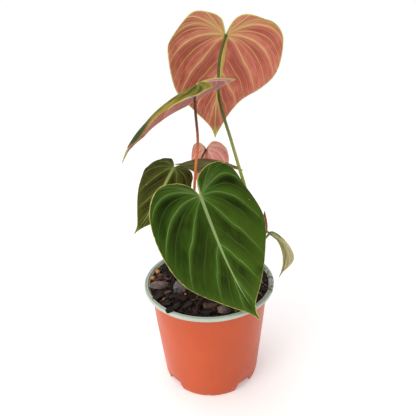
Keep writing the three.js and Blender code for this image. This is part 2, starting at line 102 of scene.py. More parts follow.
# Potting mix
MIX_EDGE_HEIGHT = 98.1
MIX_DOME = 0.6
MIX_LUMP = 0.6
MIX_GRAIN = 1.0
MIX_EDGE_RADIUS = 55.2
BED_FLOOR_RADIUS = WALL_BASE_RADIUS - 4.4
BED_GAP = 0.3
BED_RINGS = 70
BED_SIDES = 200
MIX_SEED = 41
CHIP_KINDS = 10
CHIP_SIZES = (2.2, 6.5)
CHIP_TILT = 0.35
CHIP_JITTER = 0.24
CRUMB_KINDS = 6
CRUMB_SIZES = (0.7, 2.1)
CRUMB_TILT = 1.0
FIBRE_LENGTHS = (4, 13)
FIBRE_RADII = (0.14, 0.4)
FIBRE_TAPER = 0.6
FIBRE_RINGS = 7
FIBRE_SIDES = 6
MOSS_TUFTS = 7
MOSS_SPREAD = 0.7

# Blades. Ranks count the main veins of a half from the notch at the petiole to the tip.
VEINS = (0.25, 0.37, 0.48, 0.59, 0.7, 0.79, 0.88)
LOBE_VEIN = 0.12
RANKS = (0, LOBE_VEIN, *VEINS, 1)
VEIN_LEAVES_MIDRIB_AT = 0.68
VEIN_SPREAD = 0.8
VEIN_REACH = 0.74
VEIN_ARCH = 0.3
LOBE_DEPTH = 0.19
# Veins leave the midrib this share of a rank early, from and to which ranks, and how far out
VEIN_SLANT = 0.22
SLANTED_RANKS = (5.3, 6, 8, 9)
VEIN_SLANT_REACH = 0.45
WAVES_PER_HALF = 3.5
RANK_CROWDING = 0.11
ROW_CROWDING = 1.25
MARGIN_SAMPLES = 900
SLOPE_STEP = 0.004
SPREAD_STEP = 0.01
CLOSING_SHARE = 0.03
VEIN_HALF_WIDTH = 0.9
RIB_HALF_WIDTH = (1.1, 0.5)
RIB_SHARE_ABOVE = 0.25
SEAM_REACH = 0.003
# Distances in mm that a blade's skin reads: between neighbouring main veins, from the midrib and in
# from the margin; and how far along the blade a place is
BLADE_MARKS = ("spread", "lateral", "inset", "along")

HEART = ((0, 0), (0.1, -0.09), (0.32, -0.19), (0.66, -0.16), (0.93, 0), (0.97, 0.26),
         (0.77, 0.52), (0.42, 0.74), (0.1, 0.9), (0, 1))
HEART_LONG_TIP = ((0, 0), (0.1, -0.09), (0.32, -0.19), (0.66, -0.16), (0.93, 0), (0.97, 0.26),
                  (0.77, 0.52), (0.4, 0.73), (0.07, 0.84), (0, 1))
HEART_SHALLOW = ((0, 0), (0.1, -0.01), (0.32, -0.02), (0.66, 0.02), (0.93, 0.11), (0.97, 0.29),
                 (0.77, 0.52), (0.42, 0.74), (0.1, 0.9), (0, 1))
PINK_RIGHT_HALF = ((0, 0), (0.1, -0.06), (0.34, -0.13), (0.7, -0.13), (0.96, 0), (0.98, 0.26),
                   (0.78, 0.52), (0.42, 0.74), (0.1, 0.9), (0, 1))
BACK_LEFT_HALF = ((0, 0), (0.11, -0.12), (0.31, -0.18), (0.66, -0.14), (0.93, -0.03), (0.97, 0.27),
                  (0.77, 0.5), (0.42, 0.68), (0.11, 0.91), (0, 1))
BACK_RIGHT_HALF = ((0, 0), (0.09, -0.13), (0.32, -0.18), (0.63, -0.16), (0.94, 0.05), (0.97, 0.23),
                   (0.79, 0.55), (0.42, 0.74), (0.1, 0.89), (0, 1))
FRONT_LEFT_HALF = ((0, 0), (0.11, -0.08), (0.33, -0.14), (0.66, -0.14), (0.92, 0.01), (0.95, 0.27),
                   (0.81, 0.52), (0.42, 0.74), (0.11, 0.9), (0, 1))
FRONT_RIGHT_HALF = ((0, 0), (0.05, -0.12), (0.33, -0.19), (0.67, -0.17), (0.91, -0.03), (1, 0.29),
                    (0.76, 0.52), (0.42, 0.73), (0.08, 0.88), (0, 1))

# Each blade: its midrib from junction to tip with the two handles of its bend, which way its upper
# face looks at either end (compass angle from the viewer towards +X, then elevation), and its halves
# by side, 1 to the right seen from above: outline, width, fold at junction and tip, curl, lobe lift.
LEAVES = {
    "leaf_back_red": {
        "midrib": ((20, 39.5, 308.5), (17, 43.5, 280), (9, 50.5, 254.5), (10, 56, 218.5)),
        "faces": ((-172, 10), (-170, 0)),
        "halves": {-1: (BACK_LEFT_HALF, 52.5, (12, 21), -28, 0.7),
                   1: (BACK_RIGHT_HALF, 48, (2, 11), -13, 0.7)},
        "quilt": 0.9, "wave": 1.3, "columns": 16, "rows": 44,
    },
    "leaf_front_green": {
        "midrib": ((-4.5, -28, 194), (8, -42, 160), (18.5, -50, 128.5), (42, -60, 96.5)),
        "faces": ((9, 43), (-6, 9)),
        "halves": {-1: (FRONT_LEFT_HALF, 47.5, (10, 9), -10, -0.8),
                   1: (FRONT_RIGHT_HALF, 45, (-1, 14), -30, -0.8)},
        "quilt": 1.2, "wave": 0.6, "columns": 16, "rows": 44,
    },
    "leaf_folded": {
        "midrib": ((-4.5, -20.5, 277.5), (-36.5, -2, 262), (-54, -4, 242), (-70.5, 8, 211)),
        "faces": ((18, 81), (18, 83)),
        "halves": {-1: (HEART_LONG_TIP, 43, (-5, -14), -24, -3.8),
                   1: (HEART_LONG_TIP, 38.5, (-2, -2), -10, -4.2)},
        "quilt": 1.0, "wave": 0.8, "columns": 16, "rows": 40,
    },
    "leaf_left_olive": {
        "midrib": ((-26, -1, 209), (-32, -15.5, 204), (-42.5, -18.5, 179), (-60, -29, 162.5)),
        "faces": ((-8, 31), (-22, 15)),
        "halves": {-1: (HEART, 27, (-3, 12), -37, -0.9),
                   1: (HEART, 21.5, (-7, 11), -50, -6)},
        "quilt": 0.8, "wave": 0.5, "columns": 10, "rows": 32,
    },
    "leaf_middle_dark": {
        "midrib": ((20.5, 12, 203.5), (5.5, 18, 207.5), (-9.5, 22, 204.5), (-28, 27, 203)),
        "faces": ((1, 81), (0, 73)),
        "halves": {-1: (HEART, 22, (-16, -2), -16, -0.7),
                   1: (HEART, 18, (-2, 2), -10, 0)},
        "quilt": 0.5, "wave": 0.4, "columns": 9, "rows": 26,
    },
    "leaf_small_pink": {
        "midrib": ((1, 44, 211.5), (1, 48, 195.5), (-2, 48.5, 178.5), (-3.5, 51, 162)),
        "faces": ((174, 12), (-179, 0)),
        "halves": {-1: (HEART, 23, (-2, 9), -30, -0.7),
                   1: (PINK_RIGHT_HALF, 14, (2, 8), -32, -1)},
        "quilt": 0.5, "wave": 0.5, "columns": 9, "rows": 26,
    },
    "leaf_hanging_pale": {
        "midrib": ((52, -20, 155.5), (67, -19, 143), (73, -13.5, 131.5), (62, -16, 108)),
        "faces": ((111, 19), (108, -11)),
        "halves": {-1: (HEART_SHALLOW, 15, (14, 12), -13, 0),
                   1: (HEART_SHALLOW, 14, (10, 12), -23, 0)},
        "quilt": 0.5, "wave": 0.4, "columns": 8, "rows": 24,
    },
}

# Colours of each face of a blade, with what differs from the plain green or red face; shade is the colour of
# painted shade beside the main veins, with dark patches
GREEN_FACE = {
    "base": "#1E3208", "shade": "#151A06", "glow": "#43641D", "fine": "#345314", "vein": "#71894E",
    "midrib": "#8AA067", "margin": "#BDB56A", "tip": "#6E7D2C", "notch": "#2F4A16", "start": "#334A10",
    "far": "#48561E", "glow_share": 0.75, "fine_share": 0.35, "vein_share": 0.75, "notch_share": 0.3,
    "start_share": 0.0, "far_share": 0.75, "margin_width": 0.45 * MM, "roughness": 0.6, "specular": 0.03,
    "depth": 0.05, "shade_share": 0.9, "edge_share": 0.25, "mottle_share": 0.35,
}
RED_FACE = {
    "base": "#A24A40", "shade": "#7E3022", "glow": "#C4806E", "fine": "#D09A86", "vein": "#BFA868",
    "midrib": "#B8A45C", "margin": "#B3B04C", "tip": "#C6C06C", "notch": "#ABA052", "start": "#A25A43",
    "far": "#A5524A", "glow_share": 0.5, "fine_share": 0.45, "vein_share": 0.85, "notch_share": 1.0,
    "start_share": 0.0, "far_share": 0.0, "margin_width": 0.8 * MM, "roughness": 0.55, "specular": 0.12,
    "depth": 0.5, "shade_share": 0.6, "edge_share": 0.12, "mottle_share": 0.5,
}
# Widths of the main veins and the midrib in mm, and how strong the veins between are
UPPER_VEINS = (1.25, 2.1, 0.3)
UNDER_VEINS = (1.5, 3.1, 0.6)
NOTCH_OVER_VEINS = 0.6
BLADE_SEED_STEP = 1.7
UNDER_SEED = 0.6
SPECK_COLOUR = "#D8D8C8"
SPECK_SHARE = 0.6
SOAK_DEPTH = 3.0
SOAK_COLOUR = (1.0, 0.78, 0.66)
BLADE_LOOKS = {
    "leaf_back_red": (
        {**GREEN_FACE, "margin": "#A8A848", "margin_width": 2.2 * MM},
        {**RED_FACE, "base": "#8E3A2C", "far": "#A64F44", "far_share": 1.0, "glow": "#C07A66",
         "shade": "#7A2620", "shade_share": 0.75, "mottle_share": 0.6},
    ),
    "leaf_front_green": (
        {**GREEN_FACE, "tip": "#567226", "far": "#455C1B", "margin_width": 0.65 * MM},
        {**RED_FACE, "base": "#9A4F43"},
    ),
    "leaf_folded": (
        {**GREEN_FACE, "base": "#23340E", "start": "#B79B3E", "start_share": 1.0, "margin": "#B9AE55",
         "vein": "#7C8244", "midrib": "#6C7440", "glow": "#4A5A22", "shade": "#222E0C",
         "fine": "#4A5220", "notch": "#6B6C2A", "tip": "#3E5820", "far_share": 0.0, "margin_width": 0.4 * MM,
         "specular": 0.02},
        {**RED_FACE, "base": "#A9645C", "shade": "#74464A", "glow": "#B67C74", "fine": "#C08C84",
         "vein": "#C69A8A", "midrib": "#A8906A", "notch_share": 0.2, "margin": "#C9A678",
         "tip": "#9AA072", "start": "#8E5A5A", "start_share": 0.9},
    ),
    "leaf_left_olive": (
        {**GREEN_FACE, "base": "#30310D", "shade": "#1F1B08", "glow": "#4C5620", "fine": "#424618",
         "vein": "#748549", "midrib": "#8FA460", "margin": "#838B3C", "tip": "#8E9136",
         "notch": "#3F4E1C", "start": "#3B3D15", "far": "#4F4E20", "far_share": 0.8, "edge_share": 0.15},
        {**RED_FACE, "base": "#8A4E40"},
    ),
    "leaf_middle_dark": (
        # The upper face's pale olive-grey is partly the blade's own colour and partly painted sheen, as it
        # is seen at a grazing angle
        {**GREEN_FACE, "base": "#64653C", "shade": "#4C4E2C", "glow": "#77754C", "fine": "#6C6B42",
         "vein": "#84825A", "midrib": "#827F56", "margin": "#9A9866", "tip": "#93A850",
         "notch": "#68684A", "start": "#A89488", "start_share": 0.8, "far_share": 0.0,
         "edge_share": 0.15},
        {**RED_FACE, "base": "#8A5044"},
    ),
    "leaf_small_pink": (
        {**GREEN_FACE, "base": "#5B5A30", "shade": "#43421F", "glow": "#6F7038"},
        {**RED_FACE, "base": "#CA7F80", "shade": "#B26668", "glow": "#E0A29C", "fine": "#C4726E",
         "vein": "#E0B0A8", "midrib": "#C08E7C", "margin": "#D8B0A0", "tip": "#D0AC8C",
         "notch": "#D68E88", "notch_share": 0.3, "margin_width": 0.3 * MM, "depth": 0.95},
    ),
    "leaf_hanging_pale": (
        {**GREEN_FACE, "base": "#6E7A4A", "shade": "#55613A", "glow": "#808C58", "fine": "#7A8654"},
        {**RED_FACE, "base": "#ADAA86", "shade": "#94916C", "glow": "#BAB692", "fine": "#868460",
         "vein": "#858B58", "midrib": "#8A905A", "margin": "#B5B18C", "tip": "#8A9A58",
         "notch": "#949868", "notch_share": 0.3, "margin_width": 0.3 * MM, "depth": 0.8},
    ),
}

# Petioles: path from the stem up, radii from foot to top, colours at foot and top, share of pale flecks
PETIOLES = {
    "petiole_back": {
        "path": ((35.1, -0.4, 139.6), (34.3, 0.1, 141.8), (35.2, 1, 154), (35.6, 2.5, 170),
                 (34.2, 4, 184.4), (28.1, 10.2, 206.7), (22.4, 13.3, 226.8), (16.9, 16.6, 245.3),
                 (12.9, 21.4, 262.5), (13, 26, 279.3), (15, 31, 294)),
        "leaf": "leaf_back_red", "radii": (2.15, 1.6, 1.35, 1.3, 1.25, 1.15), "slot": "petiole_green",
        # The darker top is partly the petiole's own olive colour and partly painted shade under the back
        # blade
        "colours": ("#A8AC52", "#424A14"), "fade": (0.4, 0.7), "flecks": 0.6,
    },
    "petiole_front": {
        "path": ((-5.9, -4.6, 108.2), (-4.9, -6.8, 109.2), (-4.2, -9, 118), (-3, -15, 148),
                 (-3.4, -21, 176)),
        "leaf": "leaf_front_green", "radii": (2.2, 1.8), "slot": "petiole_green",
        "colours": ("#7C8544", "#7E8C46"), "flecks": 0.8,
    },
    "petiole_folded": {
        "path": ((-9.9, -3.9, 121.8), (-10.6, -6.5, 158), (-9.7, -9, 192), (-7.2, -11.2, 216),
                 (-5.2, -13.8, 235), (-6, -17, 257), (-6, -19, 269)),
        "leaf": "leaf_folded", "radii": (1.6, 1.25, 1.12, 1.08, 1.0), "slot": "petiole_red",
        "colours": ("#E07840", "#481410"), "fade": (0.6, 0.86), "flecks": 0.3,
    },
    "petiole_left": {
        "path": ((-11, 2.6, 106.5), (-12.5, 3.8, 107.6), (-16.5, 6, 118), (-23, 8, 150),
                 (-26, 5.5, 188), (-26, 2.5, 202)),
        "leaf": "leaf_left_olive", "radii": (1.6, 1.2), "slot": "petiole_brown",
        "colours": ("#5F5A30", "#7A5440"), "flecks": 0.6,
    },
    "petiole_middle": {
        "path": ((18.4, 7.3, 114.5), (17.6, 9.4, 117.3), (17, 11.4, 128), (18.5, 13, 160),
                 (20.3, 12.6, 190)),
        "leaf": "leaf_middle_dark", "radii": (1.5, 1.1), "slot": "petiole_brown",
        "colours": ("#54502C", "#6B4A3A"), "flecks": 0.6,
    },
    "petiole_pink": {
        "path": ((11, 7.5, 101), (10, 9.4, 102.6), (6, 16, 116), (-1.5, 33, 150), (-4.6, 41, 186),
                 (-3.4, 41.4, 203.5)),
        "leaf": "leaf_small_pink", "radii": (1.2, 0.8), "slot": "petiole_brown",
        "colours": ("#5A4A30", "#5A3328"), "flecks": 0.4,
    },
    "petiole_hanging": {
        "path": ((40.1, -5.8, 135.6), (40.9, -8.6, 135.6), (44.5, -14.8, 140.5), (47.8, -19.4, 149)),
        "leaf": "leaf_hanging_pale", "radii": (1.2, 0.9), "slot": "petiole_green",
        "colours": ("#7A8048", "#7F9452"), "flecks": 0.5,
    },
}
PETIOLE_SEAT_SHARE = 0.75
PETIOLE_FOOT_OVERLAP = 1.4
PETIOLE_RINGS = 130
# Swellings: place along the stalk, growth and reach in mm
PETIOLE_SWELLINGS = ((0, 0.45, 4.0), (1, 0.25, 2.5))
PETIOLE_FADE = (0.05, 0.95)
PETIOLE_WOBBLE = 0.05
PETIOLE_SEED = 5

STEMS = {
    "stem_main": {
        "path": ((12, 3, 80), (12.3, 3, 98), (20, 3, 112), (33, 0, 130), (43, -3, 141), (48.2, -5, 146.8)),
        "radii": (4.6, 3.4), "nodes": (0.3, 0.52, 0.76, 0.93),
    },
    "stem_short": {
        "path": ((-7, 1, 80), (-7, 1, 100), (-8, -1.2, 112), (-9.6, -3.3, 121.2)),
        "radii": (4.2, 3.0), "nodes": (0.42, 0.64, 0.9),
    },
}
SHEATH_PATH = ((49.1, -5.1, 147.2), (49.7, -5, 149.9), (49.7, -4.8, 158.5), (49.7, -5, 169))
SHEATH_RADII = (2.4, 2.9, 2.9, 2.6, 1.9, 1.1, 0.3)
SHEATH_RINGS = 40
SHEATH_WOBBLE = 0.1
STEM_RINGS = 90
STEM_EXTRA_SIDES = 8
STEM_WOBBLE = 0.06
STEM_NODE_GROWTH = 0.14
STEM_NODE_REACH = 1.1
PATH_STEPS = 40
DOME_ANGLES = (0, 22, 45, 67)
DOME_FLATNESS = 0.5
WOBBLE_SCALE = 0.35

# Stones and the bark stick: centre in plan, size, turn, how deep it sits, seed, how far its flats
# stand out, colours, how pitted it is and its slot
STONES = {
    "pebble_brown": (
        (-45.6, -9), (18, 11, 8), 5, 0.3, 3, 0.72, ("#74655D", "#4C403A", "#9C8D85"), 0.25, "pebble"),
    "pebble_angular": (
        (-27.7, -14.5), (17, 13, 12), -20, 0.35, 8, 0.5, ("#666463", "#343231", "#A3A09E"), 0.1, "pebble"),
    "pebble_round": (
        (11.8, -47.3), (11.6, 9.4, 8.6), 0, 0.4, 5, 0.72, ("#6B5C55", "#3A302B", "#8F8278"), 0.8, "pebble"),
    "bark_stick": (
        (-9.6, -41.4), (5.5, 22, 6), -14, 0.45, 11, 0.72, ("#2A1D18", "#120C0A", "#57403A"), 0.4, "bark"),
}
STONE_FLATS = 9
FLAT_SPREAD = 0.2
WORN_CUT = 0.85
WORN_STAND = 0.6
# Grain of a stone's skin: mean size, depth and how fine it is
STONE_GRAIN = (0.985, 0.035, 2.6)
GROOVES_ACROSS = 1.6
GROOVES_ALONG = 0.14
GROOVE_DEPTH = 0.12
DRAW_FACTOR = 48271
DRAW_MODULUS = 2147483647

# Loose things on the mix that the photograph shows one by one, by their places in plan
PRILLS = ((-49.1, 13.7, 4.4), (-52.6, 3.3, 4.2), (-21.1, -23.9, 2.2), (-40.0, -28.9, 2.0), (31.0, 24.0, 4.0))
MOSS_BITS = ((-48.2, 22.4), (7.2, -44.5), (21.8, -49.6), (30.0, 10.0))
TWIGS = (((47.6, -6.5), (51.8, -14.6), 0.75), ((46.6, -10.6), (50.0, -17.2), 0.5),
         ((43.9, -24.0), (46.8, -29.2), 0.45))
# Bark pieces: place in plan, length, width, height, turn, and tone from dark to pinkish
BARK_PIECES = (
    (0.3, -42.3, 8.6, 4.4, 2.8, 10, 0.85), (5.5, -40.4, 3.4, 2.6, 2.2, 50, 0.8),
    (-17.5, -40.5, 8.2, 6.0, 4.0, 20, 0.05), (-24.4, -30.4, 8.8, 5.6, 4.2, -25, 0.02),
    (-31.6, -28.0, 7.0, 6.0, 3.4, 35, 0.3), (-47.3, 2.2, 8.4, 3.0, 2.4, 14, 0.7),
    (-42.4, 7.4, 6.0, 2.6, 2.4, -30, 0.75), (-44.6, -26.6, 8.0, 5.0, 3.0, 60, 0.45),
    (3.8, -48.6, 7.4, 3.6, 2.6, 30, 0.25), (-2.6, -50.0, 6.0, 3.4, 2.4, -20, 0.2),
    (-20.0, -33.6, 5.0, 4.0, 3.0, 70, 0.15), (-37.0, -36.5, 6.6, 4.6, 3.2, -10, 0.12),
    (-28.4, -41.2, 7.0, 5.0, 3.2, 40, 0.08), (2.4, -36.4, 7.2, 5.2, 3.4, 80, 0.35),
    (48.6, -20.6, 6.4, 3.4, 2.4, -50, 0.3),
)
# Chip that lies on the rim: place, size, turn and lean in radians, tone
RIM_CHIP = ((-33.9, -46.9, 99.9), (6.0, 4.6, 2.2), 0.5, 0.18, 0.15)

CAMERA_PLACE = (0.001118, -0.33282, 0.31784)
CAMERA_DOWN = 23.74
CAMERA_ROLL = -1.75
CAMERA_LENS = 36.32
CAMERA_SENSOR = 36.0

# Light: the sky's strength at the left and right, and soft round lamps with their places and sizes
SKY_SIDES = (1.18, 0.5)
LAMPS = {"key": ((-0.75, -0.7, 0.75), 0.7), "top": ((0.1, 0.1, 1.2), 0.9), "fill": ((0.95, -0.5, 0.4), 0.8)}
LIT_MIDDLE = (0, 0, 0.16)


# Colours and maths

def linear(hex_colour):
    """Linear colour with full alpha from a #RRGGBB one."""
    parts = [int(hex_colour[i:i + 2], 16) / 255 for i in (1, 3, 5)]
    return (*(c / 12.92 if c <= 0.04045 else ((c + 0.055) / 1.055) ** 2.4 for c in parts), 1.0)


def unit(v):
    """Directions of length 1."""
    return v / np.maximum(np.linalg.norm(v, axis=-1, keepdims=True), 1e-12)


def smooth(value, low, high):
    """Eased step from 0 at low to 1 at high."""
    x = np.clip((value - low) / (high - low), 0, 1)
    return x * x * (3 - 2 * x)


def facing(compass, elevation):
    """Direction from a compass angle, from the viewer towards +X, and an elevation."""
    a, e = math.radians(compass), math.radians(elevation)
    return np.array((math.cos(e) * math.sin(a), -math.cos(e) * math.cos(a), math.sin(e)))


def eased(here, after, leave, arrive, w):
    """Cubic curve from here to after, w being 0 to 1, with its directions at both ends."""
    return (here + leave * w + (3 * (after - here) - 2 * leave - arrive) * w ** 2
            + (2 * (here - after) + leave + arrive) * w ** 3)


def title(name):
    """Plain words from a piece's name."""
    return name.replace("_", " ").title()


def polar(radius, azimuth):
    """X and Y of a place round the pot's axis."""
    return radius * math.cos(azimuth), radius * math.sin(azimuth)


def outline_at(points, s):
    """Points of the smooth outline through the given ones, for s from 0 to 1."""
    points = np.array(points, float)
    last = len(points) - 1
    place = np.clip(s, 0, 1) * last
    i = np.minimum(place.astype(int), last - 1)
    w = (place - i)[:, None]
    before, here, after, beyond = (points[np.clip(i + k, 0, last)] for k in (-1, 0, 1, 2))
    return eased(here, after, (after - before) / 2, (beyond - here) / 2, w)


def path_points(path, count):
    """Evenly spaced points along the smooth path through the given ones, with their directions."""
    path = [Vector(p) for p in path]
    ends = [2 * path[0] - path[1], *path, 2 * path[-1] - path[-2]]
    fine = []
    for a, b, c, d in zip(ends, ends[1:], ends[2:], ends[3:]):
        ab, bc, cd = ((q - p).length ** 0.5 for p, q in ((a, b), (b, c), (c, d)))
        leave = ((b - a) / ab - (c - a) / (ab + bc) + (c - b) / bc) * bc
        arrive = ((c - b) / bc - (d - b) / (bc + cd) + (d - c) / cd) * bc
        fine += [eased(b, c, leave, arrive, k / PATH_STEPS) for k in range(PATH_STEPS)]
    fine.append(path[-1])
    fine = np.array(fine)
    gone = np.concatenate(([0], np.cumsum(np.linalg.norm(np.diff(fine, axis=0), axis=1))))
    even = np.linspace(0, gone[-1], count)
    points = np.stack([np.interp(even, gone, fine[:, axis]) for axis in range(3)], axis=1)
    return points, unit(np.gradient(points, axis=0)), gone[-1]


def wall_radius(z):
    """Outer radius of the pot's wall at a height."""
    share = (z - WALL_BASE_HEIGHT) / (POT_HEIGHT - RIM_DEPTH - WALL_BASE_HEIGHT)
    return WALL_BASE_RADIUS + (WALL_TOP_RADIUS - WALL_BASE_RADIUS) * share


def mix_height(x, y):
    """Height of the mix's surface, a low dome with lumps, as in the solid."""
    r = math.hypot(x, y) / WALL_TOP_RADIUS
    lumps = (math.sin(x * 0.31 + 1.3) * math.cos(y * 0.27 - 0.6) + 0.6 * math.sin(x * 0.13 - y * 0.57)
             + 0.5 * math.cos(x * 0.62 + y * 0.36 + 2))
    return MIX_EDGE_HEIGHT + MIX_DOME * (1 - r * r) + MIX_LUMP * lumps * (1 - r ** 6)


# Settings that a user would change

def colour_setting(label, text, hex_colour):
    return FloatVectorProperty(name=label, description=text, subtype="COLOR", size=4, min=0, max=1,
                               default=linear(hex_colour))


def share_setting(label, text, share):
    return FloatProperty(name=label, description=text, subtype="FACTOR", min=0, max=1, default=share)


def count_setting(label, text, count, most, least=0):
    return IntProperty(name=label, description=text, subtype="UNSIGNED", min=least, max=most, default=count)


def size_setting(label, text, size, most, least=0.0):
    """Size in mm, kept in metres."""
    return FloatProperty(name=label, description=text, unit="LENGTH", precision=5, min=least * MM,
                         max=most * MM, default=size * MM)


def power_setting(label, text, watts):
    return FloatProperty(name=label, description=text, unit="POWER", min=0, default=watts)


class PotSettings(PropertyGroup):
    """Sizes and colours of the nursery pot."""
    sides: count_setting("Sides", "Steps round the pot", 240, 480, 48)
    outside: colour_setting("Outside", "Terracotta plastic of the wall", "#C65021")
    inside: colour_setting("Inside", "Pale plastic of the rim and the inner layer", "#BAC4B4")
    stain: colour_setting("Stain", "Dried dirt on the rim", "#5E5735")
    roughness: share_setting("Roughness", "Gloss of the wall, 0 is a mirror", 0.36)


class MixSettings(PropertyGroup):
    """Amounts and colours of the potting mix."""
    chips: count_setting("Bark chips", "Loose bark chips on the mix", 620, 2000)
    crumbs: count_setting("Crumbs", "Small crumbs of peat", 1500, 4000)
    fibres: count_setting("Fibres", "Thin roots and twigs", 110, 400)
    # Dark is partly the wet peat's own colour and partly painted shade in the hollows of the mix
    dark: colour_setting("Dark", "Wet peat in the hollows", "#080505")
    brown: colour_setting("Brown", "Peat on the lumps", "#1E1511")
    bark: colour_setting("Bark", "Plain bark chips", "#1F1613")
    pale_bark: colour_setting("Pale bark", "Broken faces of bark", "#6E5246")
    prill: colour_setting("Prills", "Coated fertiliser grains", "#D98A2B")


class BladeFace(PropertyGroup):
    """Colours of one face of a blade."""
    base: colour_setting("Base", "Colour between the veins", "#2E4B17")
    # Shade is the colour of painted shade on each main vein's side towards the tip, and of dark patches
    shade: colour_setting("Shade", "Darkest patches between the veins", "#16240A")
    glow: colour_setting("Glow", "Lighter band beside the veins", "#4F7F2F")
    fine: colour_setting("Fine veins", "Thin parallel veins", "#3E6424")
    vein: colour_setting("Main veins", "Main veins", "#86AC66")
    midrib: colour_setting("Midrib", "Midrib", "#93B873")
    margin: colour_setting("Margin", "Thin pale edge", "#D9CF84")
    tip: colour_setting("Tip", "Point of the blade", "#8FA23C")
    notch: colour_setting("Notch", "Lobes beside the notch", "#3E6A28")
    start: colour_setting("Start", "End of the blade near the petiole", "#2E4B17")
    far: colour_setting("Far", "End of the blade towards +X", "#334A10")
    far_share: share_setting("Far share", "Strength of the far colour", 0)
    glow_share: share_setting("Glow share", "Strength of the glow", 0.7)
    fine_share: share_setting("Fine share", "Strength of the fine veins", 0.4)
    vein_share: share_setting("Vein share", "Strength of the main veins", 0.75)
    notch_share: share_setting("Notch share", "Strength of the notch colour", 0.3)
    start_share: share_setting("Start share", "Strength of the start colour", 0)
    # Shade share is the strength of that painted shade and of the dark patches
    shade_share: share_setting("Shade share", "Strength of the dark patches", 0.95)
    edge_share: share_setting("Edge share", "How far the tip's colour runs along the edges", 0.3)
    mottle_share: share_setting("Mottle share", "Strength of the light patches", 0.4)
    margin_width: size_setting("Margin width", "Width of the pale edge", 0.5, 3)
    roughness: share_setting("Roughness", "Gloss of the face", 0.5)
    specular: share_setting("Specular", "Strength of reflections", 0.1)
    depth: share_setting("Depth", "How much light soaks through", 0.1)


class BladeSettings(PropertyGroup):
    """Both faces of a blade."""
    upper: PointerProperty(type=BladeFace, name="Upper face", description="Colours of the upper face")
    under: PointerProperty(type=BladeFace, name="Lower face", description="Colours of the lower face")


def blade_setting(label):
    return PointerProperty(type=BladeSettings, name=label, description=label + ", both faces")


class PlantSettings(PropertyGroup):
    """Sizes that all blades, petioles and stems share, and the colours of each."""
    blade_thickness: size_setting("Blade thickness", "Thickness of the blades between veins", 0.5, 0.9, 0.2)
    midrib_height: size_setting("Midrib height", "How far the midrib stands out below the blade", 0.8, 2)
    vein_height: size_setting("Vein height", "How far main veins sink above and stand out below", 0.4, 1)
    tube_sides: count_setting("Tube sides", "Steps round a petiole", 20, 48, 8)
    sheath: colour_setting("Sheath", "Red sheath of the youngest leaf", "#A51E22")
    stem: colour_setting("Stem", "Green-brown skin of the stems", "#6B6A35")
    leaf_back_red: blade_setting("Back leaf")
    leaf_front_green: blade_setting("Front leaf")
    leaf_folded: blade_setting("Folded leaf")
    leaf_left_olive: blade_setting("Left leaf")
    leaf_middle_dark: blade_setting("Middle leaf")
    leaf_small_pink: blade_setting("Small leaf")
    leaf_hanging_pale: blade_setting("Hanging leaf")


class StageSettings(PropertyGroup):
    """Floor and lights."""
    floor_size: size_setting("Floor", "Side of the floor", 6000, 20000, 1000)
    floor_colour: colour_setting("Floor colour", "Plain pale floor", "#FAFAFA")
    floor_light: share_setting("Floor light", "Light that shines up through the floor", 0.22)
    sky_strength: share_setting("Sky", "Light from all round", 1.0)
    key_power: power_setting("Key light", "Soft light from the left", 4.2)
    top_power: power_setting("Top light", "Soft light from above", 1.0)
    fill_power: power_setting("Fill light", "Weak light from the right", 0.15)


# Shader trees

# Sockets of a mix node that are in use when it mixes colours
MIX_COLOUR_INPUTS = (0, 6, 7)
MIX_COLOUR_OUTPUT = 2


